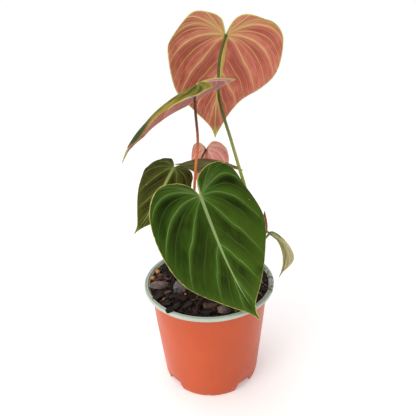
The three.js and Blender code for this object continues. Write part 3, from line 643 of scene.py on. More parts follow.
class Tree:
    """Short calls that add and join the nodes of one shader tree."""

    def __init__(self, tree):
        self.tree = tree

    def node(self, kind, **settings):
        made = self.tree.nodes.new("ShaderNode" + kind)
        for name, value in settings.items():
            setattr(made, name, value)
        return made

    def feed(self, socket, value):
        if isinstance(value, bpy.types.NodeSocket):
            self.tree.links.new(value, socket)
        else:
            socket.default_value = value

    def math(self, operation, *values, clamp=False):
        made = self.node("Math", operation=operation, use_clamp=clamp)
        for socket, value in zip(made.inputs, values):
            self.feed(socket, value)
        return made.outputs[0]

    def times(self, first, *others, clamp=False):
        for other in others:
            first = self.math("MULTIPLY", first, other, clamp=clamp)
        return first

    def plus(self, first, *others):
        for other in others:
            first = self.math("ADD", first, other)
        return first

    def band(self, value, low, high, start=0.0, end=1.0):
        """Eased step from start at low to end at high."""
        made = self.node("MapRange", interpolation_type="SMOOTHSTEP")
        for socket, given in zip(made.inputs, (value, low, high, start, end)):
            self.feed(socket, given)
        return made.outputs[0]

    def mix(self, share, a, b):
        made = self.node("Mix", data_type="RGBA")
        for socket, value in zip(MIX_COLOUR_INPUTS, (share, a, b)):
            self.feed(made.inputs[socket], value)
        return made.outputs[MIX_COLOUR_OUTPUT]

    def vector(self, x, y, z):
        made = self.node("CombineXYZ")
        for socket, value in zip(made.inputs, (x, y, z)):
            self.feed(socket, value)
        return made.outputs[0]

    def split(self, vector):
        made = self.node("SeparateXYZ")
        self.feed(made.inputs[0], vector)
        return made.outputs

    def scaled(self, vector, scale, turn=(0, 0, 0)):
        made = self.node("Mapping")
        self.feed(made.inputs["Vector"], vector)
        made.inputs["Scale"].default_value = scale
        made.inputs["Rotation"].default_value = turn
        return made.outputs[0]

    def noise(self, vector, scale, detail=3.0, roughness=0.55, distortion=0.0):
        made = self.node("TexNoise")
        for label, value in (("Vector", vector), ("Scale", scale), ("Detail", detail),
                             ("Roughness", roughness), ("Distortion", distortion)):
            self.feed(made.inputs[label], value)
        return made.outputs[0]

    def cells(self, vector, scale):
        """Distance to the nearest of scattered points."""
        made = self.node("TexVoronoi")
        self.feed(made.inputs["Vector"], vector)
        self.feed(made.inputs["Scale"], scale)
        return made.outputs["Distance"]

    def attribute(self, name):
        return self.node("Attribute", attribute_name=name).outputs["Fac"]

    def here(self):
        return self.node("TexCoord").outputs["Object"]

    def uv(self, name):
        return self.split(self.node("UVMap", uv_map=name).outputs[0])

    def group(self, tree, **values):
        made = self.node("Group")
        made.node_tree = tree
        for name, value in values.items():
            self.feed(made.inputs[title(name)], value)
        return made.outputs

    def dress(self, shader, colour, roughness, relief, strength):
        """Feeds a shader with its colour, its roughness and a relief whose heights are in mm."""
        bump = self.node("Bump")
        bump.inputs["Strength"].default_value = strength
        bump.inputs["Distance"].default_value = MM
        self.feed(bump.inputs["Height"], relief)
        self.feed(shader.inputs["Base Color"], colour)
        self.feed(shader.inputs["Roughness"], roughness)
        self.feed(shader.inputs["Normal"], bump.outputs[0])


def new_material(name, **fixed):
    """Material with a Principled shader, its fixed inputs set; returns it, its tree and the shader."""
    material = bpy.data.materials.new(name)
    material.use_nodes = True
    tree = Tree(material.node_tree)
    shader = material.node_tree.nodes["Principled BSDF"]
    for label, value in fixed.items():
        shader.inputs[label.replace("_", " ")].default_value = value
    return material, tree, shader


def new_group(name, inputs, outputs):
    """Group tree with named value sockets; returns it, its tree and the sockets inside it."""
    group = bpy.data.node_groups.new(name, "ShaderNodeTree")
    for label, value in inputs.items():
        socket = group.interface.new_socket(label, in_out="INPUT", socket_type="NodeSocketFloat")
        socket.default_value = value
    for label in outputs:
        group.interface.new_socket(label, in_out="OUTPUT", socket_type="NodeSocketFloat")
    given = group.nodes.new("NodeGroupInput").outputs
    return group, Tree(group), given, group.nodes.new("NodeGroupOutput").inputs


def once(make):
    """Keeps the group tree that a maker builds, so that it is built the first time only."""
    def kept():
        name = make.__doc__
        return bpy.data.node_groups.get(name) or make(name)
    return kept


@once
def grain_group(name):
    """Grain"""
    group, tree, given, out = new_group(name, {"Scale": 1.0, "Seed": 0.0}, ("Patches", "Speckle", "Pits"))
    place = tree.node("VectorMath", operation="ADD")
    tree.feed(place.inputs[0], tree.here())
    tree.feed(place.inputs[1], given["Seed"])
    patches = tree.noise(place.outputs[0], tree.times(given["Scale"], 150), 5, 0.6, 0.4)
    speckle = tree.noise(place.outputs[0], tree.times(given["Scale"], 1100), 3, 0.7)
    pits = tree.cells(place.outputs[0], tree.times(given["Scale"], 620))
    tree.feed(out["Patches"], tree.band(patches, 0.36, 0.66))
    tree.feed(out["Speckle"], tree.band(speckle, 0.45, 0.68))
    tree.feed(out["Pits"], tree.band(pits, 0.12, 0.5))
    return group


@once
def flecks_group(name):
    """Flecks"""
    group, tree, given, out = new_group(name, {"Share": 1.0}, ("Mask", "Ridges"))
    around, along, _ = tree.uv("along")
    place = tree.vector(tree.times(around, 14.0), tree.times(along, 0.55), 0.0)
    dots = tree.cells(place, 1.0)
    chosen = tree.noise(place, 0.9, 2)
    mask = tree.times(tree.band(dots, 0.34, 0.12), tree.band(chosen, 0.4, 0.6))
    tree.feed(out["Mask"], tree.times(mask, given["Share"], clamp=True))
    lines = tree.vector(tree.times(around, 30.0), tree.times(along, 0.06), 0.0)
    tree.feed(out["Ridges"], tree.noise(lines, 1.0, 3, 0.6))
    return group


@once
def blade_group(name):
    """Blade pattern"""
    group, tree, given, out = new_group(
        name,
        {"Main Width": 0.8, "Midrib Width": 1.8, "Margin Width": 0.5, "Between": 0.35, "Seed": 0.0},
        ("Main", "Glow", "Fine", "Midrib", "Margin", "Edge", "Tip", "Notch", "Start", "Mottle", "Dark",
         "Specks", "Relief"),
    )
    rank, out_share, _ = tree.uv("veins")
    spread, lateral, inset, along = map(tree.attribute, BLADE_MARKS)

    # Streaks run out along the veins, and a slow noise bends every line a little
    streak_place = tree.vector(tree.plus(tree.times(rank, 2.3), given["Seed"]),
                               tree.times(out_share, 3.0), given["Seed"])
    drift = tree.math("SUBTRACT", tree.noise(streak_place, 0.8, 2), 0.5)
    rank_here = tree.plus(rank, tree.times(drift, 0.16))
    outside = tree.band(out_share, 0.02, 0.2)

    main_distance = tree.times(tree.math("PINGPONG", rank_here, 0.5), spread)
    strength_noise = tree.node("TexWhiteNoise", noise_dimensions="1D")
    number = tree.plus(tree.math("FLOOR", tree.plus(rank_here, 0.5)), given["Seed"])
    tree.feed(strength_noise.inputs["W"], number)
    strength = tree.times(tree.band(strength_noise.outputs["Value"], 0.0, 1.0, 0.75, 1.1),
                         tree.band(rank, 1.2, 3.5, 0.5, 1.0))
    narrowing = tree.band(out_share, 0.1, 1.0, 1.2, 0.4)
    width = tree.times(given["Main Width"], strength, narrowing)
    main = tree.band(main_distance, tree.times(width, 0.85), 0.0)
    between = tree.math("PINGPONG", tree.plus(rank_here, 0.5), 0.5)
    between = tree.band(tree.times(between, spread), tree.times(width, 0.6), 0.0, 0.0, given["Between"])
    between = tree.times(between, outside)
    fading = tree.times(tree.band(out_share, 1.0, 0.8, 0.25, 1.0),
                        tree.band(along, 0.95, 0.6, 0.45, 1.0))
    tree.feed(out["Main"], tree.times(tree.math("MAXIMUM", main, between), fading))
    glow = tree.band(main_distance, tree.times(width, 4.2), tree.times(width, 0.2))
    tree.feed(out["Glow"], tree.times(glow, tree.band(out_share, 1.0, 0.5, 0.45, 1.0)))

    # Fine parallel veins at two spacings
    def fine_lines(per_rank, thickness, amount):
        many = tree.times(rank_here, per_rank)
        distance = tree.times(tree.math("PINGPONG", many, 0.5), tree.math("DIVIDE", spread, per_rank))
        line = tree.band(distance, thickness, thickness * 0.35)
        roomy = tree.band(spread, 0.5 * per_rank, 1.4 * per_rank, 0.0, amount)
        return tree.times(line, outside, roomy)

    coarse, thin = fine_lines(4.0, 0.34, 1.0), fine_lines(12.0, 0.16, 0.45)
    tree.feed(out["Fine"], tree.math("MAXIMUM", coarse, thin))

    rib_width = tree.times(given["Midrib Width"], tree.band(along, 0.0, 1.0, 0.78, 0.14))
    rib = tree.band(lateral, rib_width, tree.times(rib_width, 0.6))
    tree.feed(out["Midrib"], rib)
    torn = tree.band(tree.noise(streak_place, 4.0, 3), 0.2, 0.8, 0.5, 1.6)
    ragged = tree.times(given["Margin Width"], torn)
    tree.feed(out["Margin"], tree.band(inset, ragged, tree.times(ragged, 0.45)))
    clouds = tree.band(tree.noise(tree.here(), 60.0, 3), 0.5, 0.72, 0.0, 0.6)
    tree.feed(out["Edge"], tree.math("MAXIMUM", tree.band(inset, 8.0, 0.5), clouds))
    tree.feed(out["Tip"], tree.band(along, 0.86, 1.0))
    notch = tree.plus(rank, tree.times(drift, 2.5))
    tree.feed(out["Notch"], tree.band(notch, 1.7, 0.1))
    tree.feed(out["Start"], tree.band(tree.plus(along, tree.times(drift, 0.3)), 0.52, 0.2))

    mottle = tree.noise(streak_place, 1.7, 4, 0.6, 0.3)
    roomy = tree.band(spread, 1.5, 6.0, 0.35, 1.0)
    tree.feed(out["Mottle"], tree.times(tree.band(mottle, 0.36, 0.66), roomy))
    # Painted shade: each main vein darkens the skin on its side towards the tip, most in the blade's inner
    # half, and slow noise adds dark patches
    past_vein = tree.math("FRACT", rank_here)
    lee = tree.times(tree.band(past_vein, 0.03, 0.17), tree.band(past_vein, 0.92, 0.3))
    near = tree.times(tree.band(out_share, 0.06, 0.22), tree.band(out_share, 0.95, 0.45, 0.2, 1.0))
    patchy = tree.times(tree.band(mottle, 0.3, 0.6, 0.35, 1.0), strength)
    gloom = tree.band(tree.noise(tree.here(), 48.0, 3, 0.6), 0.5, 0.72, 0.0, 0.6)
    tree.feed(out["Dark"], tree.math("MAXIMUM", tree.times(lee, near, patchy), gloom, clamp=True))

    speck_place = tree.scaled(tree.here(), (260, 260, 260))
    spots = tree.band(tree.cells(speck_place, 1.0), 0.2, 0.08)
    rare = tree.band(tree.noise(speck_place, 0.12, 2), 0.68, 0.74)
    tree.feed(out["Specks"], tree.times(spots, rare))

    # Relief in mm: fine veins pinch the skin between low cushions, with a velvety grain over all
    cushions = tree.times(tree.math("MAXIMUM", coarse, thin), -0.09)
    grain = tree.times(tree.noise(tree.here(), 2600.0, 2), 0.035)
    blisters = tree.times(tree.noise(streak_place, 9.0, 2), 0.12)
    tree.feed(out["Relief"], tree.plus(cushions, grain, blisters))
    return group


def blade_material(name, face, under, seed, reach):
    """Skin of one face of a blade, coloured from its settings; reach is its span in X, in mm."""
    material, tree, shader = new_material(
        name, Specular_IOR_Level=face.specular, Subsurface_Weight=face.depth,
        Subsurface_Scale=SOAK_DEPTH * MM, Subsurface_Radius=SOAK_COLOUR)
    main_width, midrib_width, between = UNDER_VEINS if under else UPPER_VEINS
    pattern = tree.group(blade_group(), seed=float(seed), main_width=main_width, midrib_width=midrib_width,
                         margin_width=face.margin_width / MM, between=between)
    across = tree.band(tree.split(tree.here())[0], reach[0] * MM, reach[1] * MM)
    # Layers over the base colour, each a mask, its share and its paint; the Dark mask lays painted shade
    layers = (
        (across, face.far_share, face.far), (pattern["Start"], face.start_share, face.start),
        (pattern["Notch"], face.notch_share, face.notch), (pattern["Edge"], face.edge_share, face.tip),
        (pattern["Mottle"], face.mottle_share, face.glow), (pattern["Dark"], face.shade_share, face.shade),
        (pattern["Glow"], face.glow_share, face.glow), (pattern["Fine"], face.fine_share, face.fine),
        (pattern["Notch"], NOTCH_OVER_VEINS * face.notch_share, face.notch),
        (pattern["Main"], face.vein_share, face.vein), (pattern["Midrib"], 1.0, face.midrib),
        (pattern["Tip"], 1.0, face.tip), (pattern["Margin"], 1.0, face.margin),
        (pattern["Specks"], SPECK_SHARE, linear(SPECK_COLOUR)),
    )
    colour = face.base[:]
    for mask, share, paint in layers:
        colour = tree.mix(tree.times(mask, share), colour, paint[:])
    roughness = tree.band(pattern["Mottle"], 0, 1, face.roughness - 0.08, face.roughness + 0.06)
    tree.dress(shader, colour, roughness, pattern["Relief"], 0.7)
    return material


def stem_material(name, foot, top, share, fade=PETIOLE_FADE, roughness=0.42):
    """Petiole or stem skin that fades from one colour at the foot to another at the top."""
    material, tree, shader = new_material(name, Specular_IOR_Level=0.25)
    flecks = tree.group(flecks_group(), share=share)
    colour = tree.mix(tree.band(tree.attribute("rise"), *fade), foot, top)
    patches = tree.group(grain_group(), scale=1.2, seed=0.3)
    dirty = tree.mix(0.6, foot, (0.02, 0.015, 0.01, 1))
    colour = tree.mix(tree.times(patches["Patches"], 0.3), colour, dirty)
    pale = tree.mix(0.35, top, linear("#D8C88A"))
    colour = tree.mix(tree.times(flecks["Ridges"], 0.12), colour, pale)
    colour = tree.mix(tree.times(flecks["Mask"], 0.55), colour, linear("#C9C58F"))
    relief = tree.plus(tree.times(flecks["Ridges"], 0.12), tree.times(flecks["Mask"], 0.08))
    tree.dress(shader, colour, tree.band(flecks["Mask"], 0, 1, roughness, roughness + 0.2), relief, 0.6)
    return material


def stone_material(name, base, dark, pale, scale=1.0, seed=0.0, pitted=0.6):
    """Weathered stone or bark with patches, pits and pale grit."""
    material, tree, shader = new_material(name, Specular_IOR_Level=0.2)
    grain = tree.group(grain_group(), scale=scale, seed=seed)
    colour = tree.mix(grain["Patches"], base, dark)
    colour = tree.mix(tree.times(grain["Speckle"], 0.65), colour, pale)
    colour = tree.mix(tree.band(grain["Pits"], 1, 0, 0, 0.8 * pitted), colour, dark)
    relief = tree.plus(tree.times(grain["Pits"], 0.5 * pitted), tree.times(grain["Speckle"], 0.18))
    tree.dress(shader, colour, tree.band(grain["Speckle"], 0, 1, 0.65, 0.92), relief, 0.8)
    return material


def bark_material(name, base, pale):
    """Bark chips whose own tone goes from dark skin to pale broken wood."""
    material, tree, shader = new_material(name, Specular_IOR_Level=0.2)
    grain = tree.group(grain_group(), scale=1.6, seed=2.0)
    colour = tree.mix(tree.band(tree.attribute("tone"), 0.35, 1.0), base, pale)
    colour = tree.mix(tree.times(grain["Patches"], 0.75), colour, linear("#150E0B"))
    fibres = tree.noise(tree.scaled(tree.here(), (900, 900, 3200)), 1.0, 3, 0.7)
    colour = tree.mix(tree.band(fibres, 0.5, 0.75, 0, 0.35), colour, pale)
    tree.dress(shader, colour, tree.band(grain["Speckle"], 0, 1, 0.6, 0.95), tree.times(fibres, 0.4), 0.8)
    return material


# Meshes

def put_in_scene(name, bm):
    """Object with the shape's mesh; the shape is used up."""
    mesh = bpy.data.meshes.new(name)
    bm.to_mesh(mesh)
    bm.free()
    thing = bpy.data.objects.new(name, mesh)
    bpy.context.scene.collection.objects.link(thing)
    return thing


def finish_piece(name, bm, materials, slot, *nodes):
    """Scales a shape from mm, shades it smooth and shows it in place of its CAD nodes."""
    bmesh.ops.scale(bm, vec=(MM, MM, MM), verts=bm.verts)
    for face in bm.faces:
        face.smooth = True
    piece = put_in_scene(name, bm)
    for material in materials:
        piece.data.materials.append(material)
    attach(piece, "root")
    if nodes:
        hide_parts(*nodes)
    return piece


def close_up(bm, gap=1e-4):
    """Merges what touches and turns the faces outwards."""
    bmesh.ops.remove_doubles(bm, verts=bm.verts, dist=gap)
    bmesh.ops.dissolve_degenerate(bm, edges=bm.edges, dist=gap)
    bmesh.ops.recalc_face_normals(bm, faces=bm.faces)


def turned(bm, corners, sides):
    """Turns an outline of (radius, height, fillet) corners once round the pot's axis."""
    outline = []
    for i, (r, z, fillet) in enumerate(corners):
        here = Vector((r, 0, z))
        if fillet == 0:
            outline.append(here)
            continue
        before = here + (Vector((corners[i - 1][0], 0, corners[i - 1][1])) - here).normalized() * fillet
        after = here + (Vector((corners[i + 1][0], 0, corners[i + 1][1])) - here).normalized() * fillet
        for k in range(FILLET_STEPS + 1):
            w = k / FILLET_STEPS
            outline.append(before.lerp(here, w).lerp(here.lerp(after, w), w))
    verts = [bm.verts.new(point) for point in outline]
    edges = [bm.edges.new(pair) for pair in zip(verts, verts[1:])]
    bmesh.ops.spin(bm, geom=[*verts, *edges], cent=(0, 0, 0), axis=(0, 0, 1), angle=2 * math.pi,
                   steps=sides, use_merge=True)
    close_up(bm)


def tube(bm, path, radii, steps, sides, swellings=(), wobble=0.0, seed=0):
    """Round bar with domed ends whose radius runs through the given values; marks its rise."""
    points, ways, length = path_points(path, steps + 1)
    share = np.linspace(0, 1, steps + 1)
    radius = np.interp(share * (len(radii) - 1), range(len(radii)), radii)
    for place, growth, reach in swellings:
        radius = radius * (1 + growth * np.exp(-((share - place) * length / reach) ** 2))
    rising = bm.verts.layers.float.get("rise") or bm.verts.layers.float.new("rise")
    map_along = bm.loops.layers.uv.get("along") or bm.loops.layers.uv.new("along")

    def dome(end, way):
        """Rings that close an end, from its pole inwards."""
        for angle in map(math.radians, DOME_ANGLES):
            centre = points[end] + way * radius[end] * DOME_FLATNESS * math.cos(angle)
            yield centre, radius[end] * math.sin(angle), ways[end], share[end]

    rings = [*dome(0, -ways[0]), *zip(points, radius, ways, share), *reversed(list(dome(-1, ways[-1])))]
    made = bmesh.ops.create_grid(bm, x_segments=sides, y_segments=len(rings) - 1, size=0.5)["verts"]
    across = Vector(rings[0][2]).orthogonal().normalized()
    frames = []
    for centre, _, way, _ in rings:
        way = Vector(way)
        across = (across - way * across.dot(way)).normalized()
        frames.append((Vector(centre), across.copy(), way.cross(across)))
    for vert in made:
        i = round((vert.co.y + 0.5) * (len(rings) - 1))
        turn = 2 * math.pi * (vert.co.x + 0.5)
        centre, right, up = frames[i]
        r = rings[i][1]
        if wobble:
            spot = centre + (right * math.cos(turn) + up * math.sin(turn)) * r
            r *= 1 + wobble * noise.noise(spot * WOBBLE_SCALE + Vector((seed, 0, 0)))
        vert[rising] = rings[i][3]
        for loop in vert.link_loops:
            loop[map_along].uv = (turn / (2 * math.pi), length * rings[i][3])
        vert.co = centre + right * math.cos(turn) * r + up * math.sin(turn) * r
    return made


def stone_shape(bm, size, seed, stand):
    """Ball cut by seeded flats and stretched to size, as in the solid, with a worn grainy skin."""
    state = seed * 7919 + 17

    def draw():
        nonlocal state
        state = state * DRAW_FACTOR % DRAW_MODULUS
        return state / DRAW_MODULUS

    flats = []
    for _ in range(STONE_FLATS):
        way = Vector((draw() - 0.5, draw() - 0.5, draw() - 0.5)).normalized()
        flats.append((way, stand + FLAT_SPREAD * draw()))
    made = bmesh.ops.create_icosphere(bm, subdivisions=4, radius=1)["verts"]
    for vert in made:
        p = vert.co.copy()
        for way, depth in flats:
            over = p.dot(way) - depth
            if over > 0:
                p -= way * over * (WORN_CUT if stand > WORN_STAND else 1.0)
        worn = noise.fractal(p * STONE_GRAIN[2] + Vector((seed, 0, 0)), 0.8, 2.1, 4)
        vert.co = Vector(a * b / 2 for a, b in zip(p * (STONE_GRAIN[0] + STONE_GRAIN[1] * worn), size))


# Blades

def midrib_frame(leaf, y):
    """Places on the midrib with its direction, the way across and the way up, for y from 0 to 1."""
    u = np.clip(y, 0, 1)[:, None]
    foot, first, second, tip = (np.array(p, float) for p in leaf["midrib"])
    v = 1 - u
    place = v ** 3 * foot + 3 * v ** 2 * u * first + 3 * v * u ** 2 * second + u ** 3 * tip
    tangent = unit(v ** 2 * (first - foot) + 2 * v * u * (second - first) + u ** 2 * (tip - second))
    start, end = (facing(*face) for face in leaf["faces"])
    across = unit(np.cross(start + (end - start) * u, tangent))
    return place, tangent, across, np.cross(tangent, across)


def midrib_length(leaf):
    """Length of the midrib in mm."""
    place = midrib_frame(leaf, np.linspace(0, 1, 201))[0]
    return np.linalg.norm(np.diff(place, axis=0), axis=1).sum()


def flat_place(leaf, side, s, t):
    """Flat place of a point: s along the margin from notch to tip, t out along a vein."""
    margin = outline_at(leaf["halves"][side][0], s)
    along = np.clip((s - VEIN_LEAVES_MIDRIB_AT) / (1 - VEIN_LEAVES_MIDRIB_AT), 0, 1)
    root = np.stack((np.zeros_like(s), along ** VEIN_SPREAD), axis=1)
    arch = VEIN_ARCH * np.clip((s - 0.2) / 0.3, 0, 1) * np.linalg.norm(margin - root, axis=1)
    bend = root + (margin - root) * VEIN_REACH
    bend[:, 1] -= arch
    w = t[:, None]
    return (1 - w) ** 2 * root + 2 * (1 - w) * w * bend + w ** 2 * margin


def blade_middle(leaf, side, s, t):
    """Middle surface of a blade, in mm, with the flat places that it was bent from."""
    _, width, fold, curl, lift = leaf["halves"][side]
    flat = flat_place(leaf, side, s, t)
    x, y = flat[:, 0], flat[:, 1]
    place, tangent, across, up = midrib_frame(leaf, y)
    back = np.minimum(y, 0)
    bent = np.radians(curl) * x / 2
    reach = x * width * np.sinc(bent / np.pi)
    angle = np.radians(fold[0] + (fold[1] - fold[0]) * np.clip(y, 0, 1)) + bent
    out = (side * reach * np.cos(angle))[:, None]
    rise = (lift * (back / LOBE_DEPTH) ** 2 + reach * np.sin(angle))[:, None]
    return place + tangent * (back * midrib_length(leaf))[:, None] + across * out + up * rise, flat


def blade_normals(leaf, side, s, t):
    """Upward normals of the middle surface, with the midrib's own at its ends."""
    def middle(s, t):
        return blade_middle(leaf, side, s, t)[0]

    along = middle(s + SLOPE_STEP, t) - middle(s - SLOPE_STEP, t)
    out = middle(s, np.minimum(t + SLOPE_STEP, 1)) - middle(s, t - SLOPE_STEP)
    normals = unit(np.cross(along, out) * side)
    ends = (t < 0.01) | (s < 0.01) | (s > 0.99)
    up = midrib_frame(leaf, flat_place(leaf, side, s, t)[:, 1])[3]
    normals[ends] = up[ends]
    return normals


def blade_relief(leaf, side, s, t):
    """Doming between the main veins and waving of the margin, in mm, as in the solid."""
    stops = np.array((0, *VEINS, 1))
    after = np.clip(np.searchsorted(stops, s, side="right"), 1, len(stops) - 1)
    between = (s - stops[after - 1]) / (stops[after] - stops[after - 1])
    dome = leaf["quilt"] * np.sin(np.pi * between) * np.sin(np.pi * np.minimum(t * 0.9, 1))
    phase = 2 * np.pi * (WAVES_PER_HALF * s + 0.3 * side)
    return dome + leaf["wave"] * np.sin(phase) * t ** 3 * np.sin(np.pi * s)


def blade_sheet(bm, leaf, side, upper, plant, layers):
    """Adds one face of one half of a blade, with its vein map and the distances that its skin reads."""
    spans = len(RANKS) - 1
    columns, rows = spans * leaf["columns"], leaf["rows"]
    made = bmesh.ops.create_grid(bm, x_segments=columns, y_segments=rows, size=0.5)["verts"]
    grid = np.array([vert.co[:2] for vert in made]) + 0.5
    rank = grid[:, 0] * spans
    rank = np.clip(rank - RANK_CROWDING * np.sin(2 * np.pi * rank), 0, spans)
    t = np.clip(grid[:, 1], 0, 1) ** ROW_CROWDING
    s = np.interp(rank, range(spans + 1), RANKS)
    ends = (grid[:, 0] < 1e-6) | (grid[:, 0] > 1 - 1e-6)
    place, flat = blade_middle(leaf, side, s, t)

    def middle(rank, t):
        return blade_middle(leaf, side, np.interp(rank, range(spans + 1), RANKS), t)[0]

    ahead, behind = np.minimum(rank + SPREAD_STEP, spans), np.maximum(rank - SPREAD_STEP, 0)
    per_rank = (middle(ahead, t) - middle(behind, t)) / (ahead - behind)[:, None]
    vein_way = unit(middle(rank, np.minimum(t + SPREAD_STEP, 1)) - middle(rank, t - SPREAD_STEP))
    spread = np.linalg.norm(per_rank - vein_way * (per_rank * vein_way).sum(1, keepdims=True), axis=1)
    around = np.linspace(0, 1, MARGIN_SAMPLES)
    margin = KDTree(MARGIN_SAMPLES)
    for i, point in enumerate(blade_middle(leaf, side, around, np.ones_like(around))[0]):
        margin.insert(point, i)
    margin.balance()
    inset = [margin.find(point)[2] for point in place]
    lateral = flat[:, 0] * leaf["halves"][side][1]
    along = np.clip(flat[:, 1], 0, 1)

    # Veins leave the midrib at a slant, sink in the upper face and stand out of the lower one, and
    # both faces meet at the margin
    first, full, last, end = SLANTED_RANKS
    slant = VEIN_SLANT * smooth(rank, first, full) * smooth(rank, end, last) * smooth(t, VEIN_SLANT_REACH, 0)
    vein_rank = rank + slant
    nearest = np.abs(vein_rank - np.round(vein_rank)) * spread
    vein = np.exp(-(nearest / VEIN_HALF_WIDTH) ** 2) * smooth(t, 0.02, 0.15) * (1 - t ** 4)
    vein = vein * smooth(spread, 1.5, 5)
    half = plant.blade_thickness / MM / 2
    vein_height, midrib_height = plant.vein_height / MM, plant.midrib_height / MM
    closing = np.sqrt(np.clip((1 - along) / CLOSING_SHARE, 0, 1))
    edging = np.where(ends, 1, np.sqrt(np.clip((1 - t) / CLOSING_SHARE, 0, 1))) * closing
    rib_width = np.interp(along, (0, 1), RIB_HALF_WIDTH)
    rib = np.exp(-(lateral / rib_width) ** 2) * (1 - along) ** 0.5
    if upper:
        offset = half * edging - vein_height * vein * edging + RIB_SHARE_ABOVE * midrib_height * rib * edging
    else:
        offset = -half * edging - vein_height * vein * edging - midrib_height * rib * edging
    normals = blade_normals(leaf, side, s, np.where(ends, 0, t))
    place = place + normals * (blade_relief(leaf, side, s, np.where(ends, 0, t)) * ~ends + offset)[:, None]

    for vert, point, marks in zip(made, place, zip(spread, lateral, inset, along)):
        vert.co = point
        for layer, value in zip(layers["marks"], marks):
            vert[layer] = value
    for vert, r, w in zip(made, vein_rank, t):
        for loop in vert.link_loops:
            loop[layers["veins"]].uv = (r, w)
    for face in {face for vert in made for face in vert.link_faces}:
        face.material_index = 0 if upper else 1


def build_blade(name, plant):
    """Closed blade of four sheets, two for each half."""
    leaf = LEAVES[name]
    bm = bmesh.new()
    layers = {"marks": [bm.verts.layers.float.new(mark) for mark in BLADE_MARKS],
              "veins": bm.loops.layers.uv.new("veins")}
    for side in (1, -1):
        for upper in (True, False):
            blade_sheet(bm, leaf, side, upper, plant, layers)
    bmesh.ops.remove_doubles(bm, verts=bm.verts, dist=SEAM_REACH)
    bmesh.ops.dissolve_degenerate(bm, edges=bm.edges, dist=1e-4)
    bmesh.ops.holes_fill(bm, edges=[edge for edge in bm.edges if edge.is_boundary], sides=12)
    bmesh.ops.recalc_face_normals(bm, faces=bm.faces)
    return bm


# Operators

